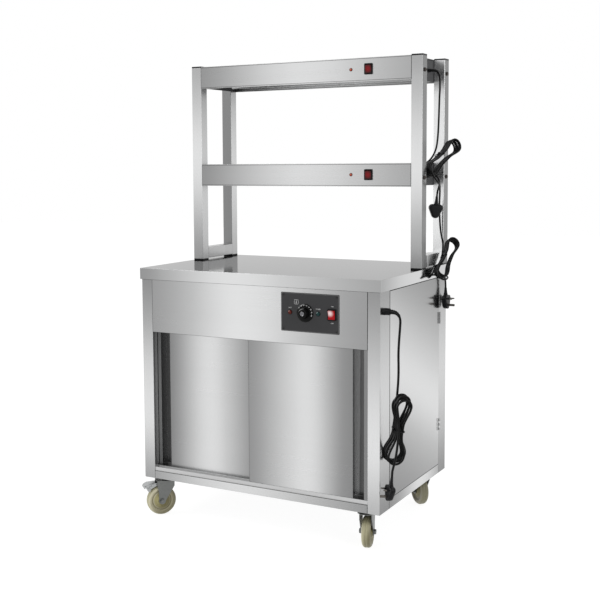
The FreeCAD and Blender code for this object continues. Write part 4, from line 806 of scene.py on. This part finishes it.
# %% Screws in the plate, bolts in the gantry
def cross_head(middle, radius=3.2, height=1.6):
    """A pan head with a cross cut in: its height dips where x or z is near the middle."""
    reach = np.array([radius, radius, radius * 0.93, radius * 0.8, 2.0, 1.75, 1.3, 0.9, 0.5, 0.1])
    rise = np.array([0.0, 0.6, 0.82, 0.95, 1.0, 1.0, 1.0, 1.0, 1.0, 1.0]) * height
    angle = 2 * np.pi * (np.arange(64) + 0.5) / 64
    x, z = reach[:, None] * np.cos(angle), reach[:, None] * np.sin(angle)
    cut = (np.minimum(abs(x), abs(z)) < 0.42) & (reach[:, None] < 1.9)
    out = np.where(cut, height * 0.35, rise[:, None])
    return skin(middle + np.stack([x, -out, z], -1) * millimetre)


plate_low, plate_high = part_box("control_plate")
margin = 0.008                            # from the plate's edges to its screws
screws = [cross_head(np.array((x, plate_front, z)))
    for x in (plate_low.x + margin, plate_high.x - margin)
    for z in (plate_low.z + margin, plate_high.z - margin)]
bolts = []
bolt_rows, bolt_rise = (0.063, 0.274), 0.030          # along the depth, and above a shelf's foot
gantry_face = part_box("gantry_side_right")[1].x
for side in (-1, 1):
    for shelf in ("mid_shelf", "top_shelf"):
        for y in bolt_rows:
            seat = (side * gantry_face, y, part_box(shelf)[0].z + bolt_rise)
            washer = [(7.2, 0.0), (7.4, 0.3), (7.4, 1.1), (7.0, 1.4), (5.6, 1.4)]
            head = [(5.4, 1.2), (5.4, 4.0), (5.0, 4.7), (4.2, 5.0), (2.6, 5.0), (2.6, 3.6),
                (0.3, 3.2)]
            bolts += [turned(washer, seat, (side, 0, 0), sides=32),
                turned(head, seat, (side, 0, 0), sides=48, flats=6)]
plate_size = (plate_high - plate_low) / millimetre
plate_middle = middle_of("control_plate")
plate_middle.y = plate_front
# A painted highlight: a thin lighter ring, barely proud, round the plate's edge, where its bevel
# would catch the light.
rim = slab((plate_size.x - 3.0, plate_size.z - 3.0, 1.5),
    [(0.0, -0.1), (0.1, 0.15), (1.1, 0.15), (1.2, -0.1)], plate_middle, flat_right,
    flat_up, wrap=True)
piece("plate_edge_highlight", [rim], edge_highlight_grey, "trolley", "control_black")
piece("plate_screws_and_bolts", [(*screw, 1) for screw in screws] + bolts,
    [dark_bolt, screw_steel], "trolley", "bolt_black", "screws_and_bolts")

# %% [markdown]
# ## The heating tubes
#
# Under each shelf two quartz tubes lie end to end in front of the reflector. Each
# is milky glass round a coil of thin wire, and sits in two ceramic blocks that hang
# from the shelf. The coil is a helix: its angle grows evenly along the tube.

# %% Quartz, coils and ceramic
quartz = moulded("quartz", (0.80, 0.80, 0.78), 0.12)
quartz.node_tree.nodes["Principled BSDF"].inputs["Alpha"].default_value = 0.35
coil_wire = moulded("coil_wire", (0.20, 0.17, 0.15), 0.40, metallic=1.0)
tube_y = middle_of("heating_tubes").y
first_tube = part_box("heating_tubes")[0].z + 0.009
shelf_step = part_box("top_shelf")[0].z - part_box("mid_shelf")[0].z
tube_way = (1, 0, 0)
turns, steps_a_turn, coil_radius, wire_radius = 84, 12, 0.0034, 0.0005
glass_tube = [(0.3, 0), (6.0, 0), (6.0, 340), (0.3, 340)]
block_round = [(5.9, 0), (8.4, 0), (9.0, 0.6), (9.0, 21.4), (8.4, 22), (5.9, 22)]
tube_parts = []
for tube_z in (first_tube, first_tube + shelf_step):
    for tube_x in (-0.2, 0.2):
        start = np.array((tube_x - 0.17, tube_y, tube_z))
        tube_parts.append(turned(glass_tube, start, tube_way, sides=24))
        travel = np.linspace(0.004, 0.336, turns * steps_a_turn + 1)
        angle = 2 * np.pi * np.arange(len(travel)) / steps_a_turn
        ring = coil_radius * np.cos(angle), coil_radius * np.sin(angle)
        helix = start + np.stack([travel, *ring], -1)
        tube_parts.append((*swept(helix, np.full(len(helix), wire_radius), 5), 1))
        for end in (-0.011, 0.329):
            block = turned(block_round, start + (end, 0, 0), tube_way, sides=32)
            hanger = slab((14, 10, 0.6), [(0.0, 0.0), (0.0, 20.0)], start + (end + 0.011, 0, 0),
                tube_way, (0, 1, 0))
            tube_parts += [(*block, 2), (*hanger, 3)]
piece("quartz_tubes", tube_parts, [quartz, coil_wire, ceramic, zinc], "trolley", "quartz",
    "heating_tubes")

# %% [markdown]
# ## The three mains cords
#
# Each cord is one length of round flex: it leaves its clamp, hangs down the side,
# runs through every turn of its hank and ends in its plug. A NURBS curve of order 3
# bends smoothly and passes near each of its points, as a stiff cord does, and a
# round bevel gives it its thickness. The points outside the hank are listed one by one.
# The turns of the hank come from a formula: each turn is a long loop, drawn in at
# its waist, and lies one cord's width beside the last. Somebody wound them in a
# hurry, so the loops' length and width swell and shrink from turn to turn.
#
# All places are measured out from the cabinet's right face, along its depth, and up
# from the worktop, in metres, the way that the CAD model measures them.

# %% Points of a hank
right_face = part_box("rear_right_post")[1].x
worktop_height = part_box("worktop")[1].z


def beside_cabinet(points):
    """Millimetres out, back and up from the worktop's right side, in metres."""
    return np.array(points, float) * millimetre + (right_face, 0.0, worktop_height)


def hank_points(low, high, climb, lobe_low, lobe_high, waist, pitch, turns, first, last,
        neck, loose, slack, fan):
    """The curve's points for a hank, as an array.

    One turn runs down one side, round the lower lobe, up the other side and round
    the upper lobe. A lobe is half an octagon, whose corners sit outside the round
    that the curve draws. Each turn climbs one pitch, all of it on the way up. Along
    the cord, slow sines change the lobes' width by the share loose, push the ends out
    and in by slack, and spread the lobes apart by fan. The waist stays as it is.
    """
    low, high = beside_cabinet([low, high])
    climb = unit(climb)
    low, high = low - climb * pitch * turns / 2, high - climb * pitch * turns / 2
    along = unit(high - low)
    stack = unit(climb - along * (climb @ along))
    across = np.cross(along, stack)
    middle, half = (low + high) / 2, np.linalg.norm(high - low) / 2
    c = 1 - math.tan(math.radians(22.5))
    # along: shares of the half length, the low and the high lobe's radius;
    # across: shares of the waist's half, the low and the high radius; share of the climb
    turn = np.array([
        (0.10, 0, 0, -1, 0, 0, 0.0), (-neck, neck, 0, -1, 0, 0, 0.0),
        (-0.86, 0.86, 0, 0, -1, 0, 0.0), (-1, c, 0, 0, -1, 0, 0.0),
        (-1, 0, 0, 0, c - 1, 0, 0.0), (-1, 0, 0, 0, 1 - c, 0, 0.0),
        (-1, c, 0, 0, 1, 0, 0.0), (-0.86, 0.86, 0, 0, 1, 0, 0.06),
        (-neck, neck, 0, 1, 0, 0, 0.29), (0.10, 0, 0, 1, 0, 0, 0.55),
        (neck, 0, -neck, 1, 0, 0, 0.71), (0.86, 0, -0.86, 0, 0, 1, 0.94),
        (1, 0, -c, 0, 0, 1, 1.0), (1, 0, 0, 0, 0, 1 - c, 1.0),
        (1, 0, 0, 0, 0, c - 1, 1.0), (1, 0, -c, 0, 0, -1, 1.0),
        (0.86, 0, -0.86, 0, 0, -1, 1.0), (neck, 0, -neck, -1, 0, 0, 1.0)])
    step = np.arange(first, last)
    count = len(turn)
    share = turn[step % count]
    wound = step / count
    wide = 1 + loose * np.sin(2.3 * wound + 0.6)
    long = half + slack * np.sin(3.1 * wound + 2.0)
    r0, r1 = lobe_low / 2 * wide, lobe_high / 2 * (1 + 0.6 * loose * np.sin(2.9 * wound))
    a = share[:, 0] * long + share[:, 1] * r0 + share[:, 2] * r1
    b = share[:, 3] * waist / 2 + share[:, 4] * r0 + share[:, 5] * r1
    spread = fan * (wound - turns / 2) * np.clip(abs(share[:, 0]) * 1.6 - 0.5, 0, 1)
    level = (step // count + share[:, 6]) * pitch + spread
    return (middle + np.outer(a, along) + np.outer(b, across) + np.outer(level, stack),
        (along, stack, across, middle + stack * pitch * turns / 2))


def flex(name, points, diameter):
    """A round cord along one smooth NURBS spline, through its points' neighbourhood."""
    curve = bpy.data.curves.new(name, "CURVE")
    curve.dimensions = "3D"
    spline = curve.splines.new("NURBS")
    spline.points.add(len(points) - 1)
    spline.points.foreach_set("co", np.c_[points, np.ones(len(points))].ravel())
    spline.order_u = 3
    spline.use_endpoint_u = True
    spline.resolution_u = 8
    curve.bevel_depth = diameter / 2
    curve.bevel_resolution = 5
    curve.use_fill_caps = True
    curve.materials.append(rubber)
    return placed(name, curve)


def mains_cord(name, diameter, before, hank, after):
    """A cord through the points before its hank, the hank's own and those after it.

    Gives back the cord, its first point, and the hank's directions and middle.
    """
    wound, axes = hank_points(*hank)
    way = np.concatenate([beside_cabinet(before), wound, beside_cabinet(after)])
    return flex(name, way, diameter), tuple(way[0]), axes


# %% The cabinet's cord
cabinet_flex, cabinet_exit, cabinet_axes = mains_cord(
    "cabinet_flex", 0.0075,
    [(24, -270, -99), (30, -270, -99), (39, -270, -100), (47, -270, -104.5), (53, -270, -112),
     (56, -270, -122), (56, -270, -135), (51.5, -269, -187), (49, -268, -230), (49.8, -267, -272),
     (48.4, -266, -314), (42.5, -259.5, -354), (37.5, -254.5, -392)],
    ((34.0, -266.0, -568.0), (63.0, -266.0, -360.0), (0.7, -0.7, -0.11),
     0.056, 0.0445, 0.0150, 0.0084, 5, 0, 90, 0.34, 0.12, 0.006, 0.0006),
    [(57, -296, -523), (52, -299, -554), (43, -293, -582), (37.7, -286.4, -594), (36, -284, -612)])
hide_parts("cabinet_cord", "cabinet_hank")

# %% The top shelf's cord
top_flex, top_exit, top_axes = mains_cord(
    "top_flex", 0.0064,
    [(-25.5, 200, 668), (-19, 200, 668), (-10, 200, 667), (-2, 200, 662), (3.5, 200, 653),
     (6, 200, 641), (6.5, 200.5, 613), (4.5, 201, 570), (3, 202, 524), (1.5, 202.5, 480),
     (-0.5, 202, 439), (-4, 197, 401), (-10.5, 173, 370)],
    ((-1.0, 108.0, 321.0), (38.0, 270.0, 420.0), (0.881, -0.411, 0.237),
     0.042, 0.042, 0.0270, 0.0069, 5, 2, 93, 0.40, 0.03, 0.0012, 0.0002),
    [(10.5, 103, 345), (15, 95, 329), (23, 97, 311), (30, 108, 296), (32, 124, 287),
     (29, 140, 281), (21, 155, 272), (11.7, 166.4, 255.3), (11, 165, 240)])
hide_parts("top_cord", "top_hank")

# %% The middle shelf's cord
mid_flex, mid_exit, mid_axes = mains_cord(
    "mid_flex", 0.0064,
    [(-25.5, 200, 314), (-19, 200, 314), (-11.5, 200.5, 313), (-4.5, 202, 309),
     (0.5, 204.5, 302), (3, 208, 292), (3, 217, 268), (-1, 226, 238), (-4.5, 232, 214),
     (-5.5, 237, 181), (-4.5, 240, 143), (-1.5, 243, 107), (6.5, 244, 75)],
    ((30.0, 152.0, -27.5), (35.0, 266.0, 83.0), (0.721, -0.522, 0.455),
     0.040, 0.040, 0.0260, 0.0069, 4, 0, 75, 0.40, 0.03, 0.0012, 0.0002),
    [(26.5, 141, -4), (28.5, 131, -17), (35, 128.5, -30), (43.5, 136, -38.5), (48.5, 150, -40),
     (49.5, 165, -38.5), (46.5, 180, -36.5), (40, 194, -35), (30.5, 208, -33), (21, 222, -33.5),
     (15, 236, -40), (13.9, 247, -52), (13.9, 251, -66), (14, 251, -80)])
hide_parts("mid_cord", "mid_hank")
for cord in (cabinet_flex, top_flex, mid_flex):
    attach(cord, "trolley")

# %% Measure the cords
def line_length(cord):
    """The length and the points of a curve's own line, from a mesh without its bevel."""
    bare = cord.data.copy()
    bare.bevel_depth = 0.0
    probe = bpy.data.objects.new("probe", bare)
    line = bpy.data.meshes.new_from_object(probe)
    points = np.empty(len(line.vertices) * 3)
    line.vertices.foreach_get("co", points)
    points = points.reshape(-1, 3)
    bpy.data.objects.remove(probe)
    bpy.data.curves.remove(bare)
    bpy.data.meshes.remove(line)
    return float(np.linalg.norm(np.diff(points, axis=0), axis=1).sum()), points


cord_lines = {}
for cord in (cabinet_flex, top_flex, mid_flex):
    length, line = line_length(cord)
    cord_lines[cord.name] = line
    print(cord.name, "is", round(length, 3), "m long")

# %% [markdown]
# ## Strain reliefs and cable ties
#
# Where a mains cord leaves a housing, a rubber sleeve tapers along it so that it
# can't kink. The sleeve follows the cord's own line, so its points are read from the
# spline and evened out, and a small ripple makes its ribs. A cable tie is a flat
# band round the waist of the hank, with a ratchet head and a cut tail.

# %% Sleeves
def sleeve(name, line, length, wide, narrow, ribs):
    """A tapered sleeve on the first part of a cord: its radius falls evenly, with ribs."""
    steps = np.linalg.norm(np.diff(line, axis=0), axis=1)
    walked = np.concatenate([[0.0], np.cumsum(steps)])
    at = np.linspace(0.0, length, 49)
    points = np.stack([np.interp(at, walked, line[:, k]) for k in range(3)], -1)
    share = at / length
    ripple = 0.0004 * np.cos(2 * np.pi * ribs * share) * (share < 0.9)
    radii = wide + (narrow - wide) * share + ripple
    piece(name, [swept(points, radii, 24)], rubber, "trolley", "cord_rubber")


sleeve("gland_sleeve", cord_lines["cabinet_flex"], 0.034, 0.0076, 0.0044, 6)
sleeve("top_sleeve", cord_lines["top_flex"], 0.026, 0.0054, 0.0038, 5)
sleeve("mid_sleeve", cord_lines["mid_flex"], 0.026, 0.0054, 0.0038, 5)

# %% Cable ties
def tie(frame_axes, across_half, stack_half, tail_length, aside=0.0):
    """A band with round corners round the turns, its head, and its tail, in millimetres.

    aside moves it across the hank, in metres, so that it can hold one side alone.
    """
    along, stack, across, centre = frame_axes
    centre = centre + across * aside
    wall = 1.2
    hoop = slab((2 * (across_half + wall), 2 * (stack_half + wall), 4.6),
        [(0, -2.0), (0, 2.0), (wall, 2.0), (wall, -2.0)], centre, across, stack, wrap=True)
    head_at = centre - across * (across_half + wall) * millimetre
    out = -across
    head = slab((6.4, 5.0, 1.0), [(0.5, 0.0), (0.0, 0.6), (0.0, 3.6), (0.7, 4.3)], head_at,
        np.cross(stack, out), stack)
    share = np.linspace(0, 1, 12)[:, None]
    sag = np.array((0.0, 0.0, -0.35))
    path = (head_at + out * 0.002 + stack * 0.003 + tail_length * millimetre
        * (share * unit(stack * 0.5 + out * 0.8) + share ** 2 * sag))
    flat_ring = np.array([(-1, -0.3), (1, -0.3), (1, 0.3), (-1, 0.3)])
    rows = path[:, None] + (flat_ring[:, :1] * along * 0.0013 + flat_ring[:, 1:] * across * 0.0016)
    return [hoop, head, skin(rows)]


ties = (tie(cabinet_axes, 11.5, 25.0, 7) + tie(top_axes, 3.8, 20.5, 3, aside=-0.0135)
    + tie(mid_axes, 3.8, 17.0, 3, aside=-0.013))
piece("cable_ties", ties, black_plastic, "trolley", "control_black", "hank_ties")

# %% [markdown]
# ## The plugs
#
# A moulded three-pin plug is a rounded body with a flat face, three metal pins, and
# a ribbed neck that holds the cord. Its outline is what three round corners enclose:
# in each direction the outermost of them. The outline is drawn in towards the back,
# which is domed, and a little at the face.

# %% One plug
def plug_shapes(neck_top, down, face):
    """Body, neck and pins of a plug that hangs from neck_top: down is the cord's way."""
    down, face = unit(down), np.asarray(face, float)
    face = unit(face - down * (face @ down))
    side = np.cross(-down, face)
    corners = np.array([(-12.0, -38.0, 12.0), (12.0, -38.0, 12.0), (0.0, -59.0, 14.5)])

    def outline(inset):
        """In each direction, the point of the round corner that reaches furthest."""
        angle = 2 * np.pi * (np.arange(72) + 0.5) / 72
        way = np.c_[np.cos(angle), np.sin(angle)]
        reach = corners[:, :2] @ way.T + corners[:, 2:]
        chosen = corners[reach.argmax(axis=0)]
        return chosen[:, :2] + (chosen[:, 2:] - inset) * way

    levels = [(9.0, -10.0), (6.5, -9.8), (4.0, -9.0), (2.0, -7.4), (0.7, -5.0), (0.1, -2.4),
        (0.0, 0.0), (0.0, 2.6), (0.7, 3.2), (0.7, 3.8), (0.0, 4.4), (0.0, 8.6), (0.6, 9.6),
        (1.6, 10.0), (9.0, 10.0)]
    body = stacked(outline, levels, neck_top, side, -down)
    share = np.linspace(0, 1, 61)
    ribs = 0.4 * np.cos(2 * np.pi * 7 * share) * (share > 0.06)
    neck = np.c_[4.1 + 2.4 * share + 3.4 * share ** 4 + ribs, 30 * share]
    shapes = [body, turned(neck, neck_top, down, sides=28)]
    for x, z, size, length, cover in ((-11.1, -38.0, (6.4, 4.0, 0.5), 17.7, 8.5),
        (11.1, -38.0, (6.4, 4.0, 0.5), 17.7, 8.5),
        (0.0, -60.2, (4.0, 8.0, 0.5), 22.7, 0.0)):
        foot = neck_top + (side * x - down * z + face * 10.0) * millimetre
        pin = [(0.0, -0.5), (0.0, length - 1.2), (1.1, length)]
        shapes.append((*slab(size, pin, foot, side, -down, steps=3), 1))
        if cover:
            shroud = [(-0.15, -0.5), (-0.15, cover), (0.0, cover)]
            shapes.append(slab(size, shroud, foot, side, -down, steps=3))
    return shapes


for name, neck_top, down, face in (
    ("cabinet", (36, -284, -612), (-5, -4, -53), (-0.7, -0.7, 0)),
    ("top", (11, 165, 240), (-2.5, -5, -53), (-0.49, 0.87, 0)),
    ("mid", (14, 251, -80), (0.5, 0, -53), (1, 0, 0))):
    piece(name + "_mains_plug", plug_shapes(beside_cabinet([neck_top])[0], down, face),
        [plug_black, pin_metal], "trolley", "plug_black", name + "_plug")

# %% [markdown]
# ## A white studio
#
# Catalogue pictures stand on white. The world is plain white for the camera and for
# the reflections in the steel, and dimmer as a light, and two large soft lamps shape
# the edges. The floor is almost white by itself and keeps a soft shadow.

# %% World, floor and lamps
world = bpy.data.worlds.new("studio")
bpy.context.scene.world = world
air = empty_tree(world)
ray = air.nodes.new("ShaderNodeLightPath")
to_camera, glossy, through = (Wire(air, ray.outputs["Is " + kind + " Ray"])
    for kind in ("Camera", "Glossy", "Transmission"))
seen = to_camera.math("MAXIMUM", to_camera, glossy)
seen = seen.math("MAXIMUM", seen, through)
sky = add(air, "Background", None, {"Color": (1.0,) * 4, "Strength": seen * 0.45 + 0.55})
fill(air, air.nodes.new("ShaderNodeOutputWorld"), {"Surface": sky})

floor_mesh = bpy.data.meshes.new("floor")
far = 14.0
floor_mesh.from_pydata([(-far, -far, 0), (far, -far, 0), (far, far, 0), (-far, far, 0)], [],
    [(0, 1, 2, 3)])
floor = placed("floor", floor_mesh)
floor_material = bpy.data.materials.new("white_floor")
ground = empty_tree(floor_material)
matt = add(ground, "BsdfDiffuse", None, {"Color": (0.30, 0.30, 0.30, 1.0)})
glow = add(ground, "Emission", None, {"Strength": add(ground, "LightPath") * 0.14 + 0.74})
both = add(ground, "AddShader", None, {0: matt, 1: glow})
fill(ground, ground.nodes.new("ShaderNodeOutputMaterial"), {"Surface": both})
floor_mesh.materials.append(floor_material)


def soft_lamp(name, place, target, size, power):
    """A square soft lamp that looks at a point."""
    light = bpy.data.lights.new(name, "AREA")
    light.energy, light.size = power, size
    lamp = placed(name, light)
    lamp.location = place
    lamp.rotation_mode = "QUATERNION"
    lamp.rotation_quaternion = (Vector(target) - Vector(place)).to_track_quat("-Z", "Y")


soft_lamp("key", (-3.4, -2.0, 4.0), (0, 0, 0.8), 2.2, 50)
soft_lamp("fill", (3.6, -1.6, 2.2), (0, 0, 0.7), 2.0, 24)
bpy.context.scene.view_settings.view_transform = "Standard"
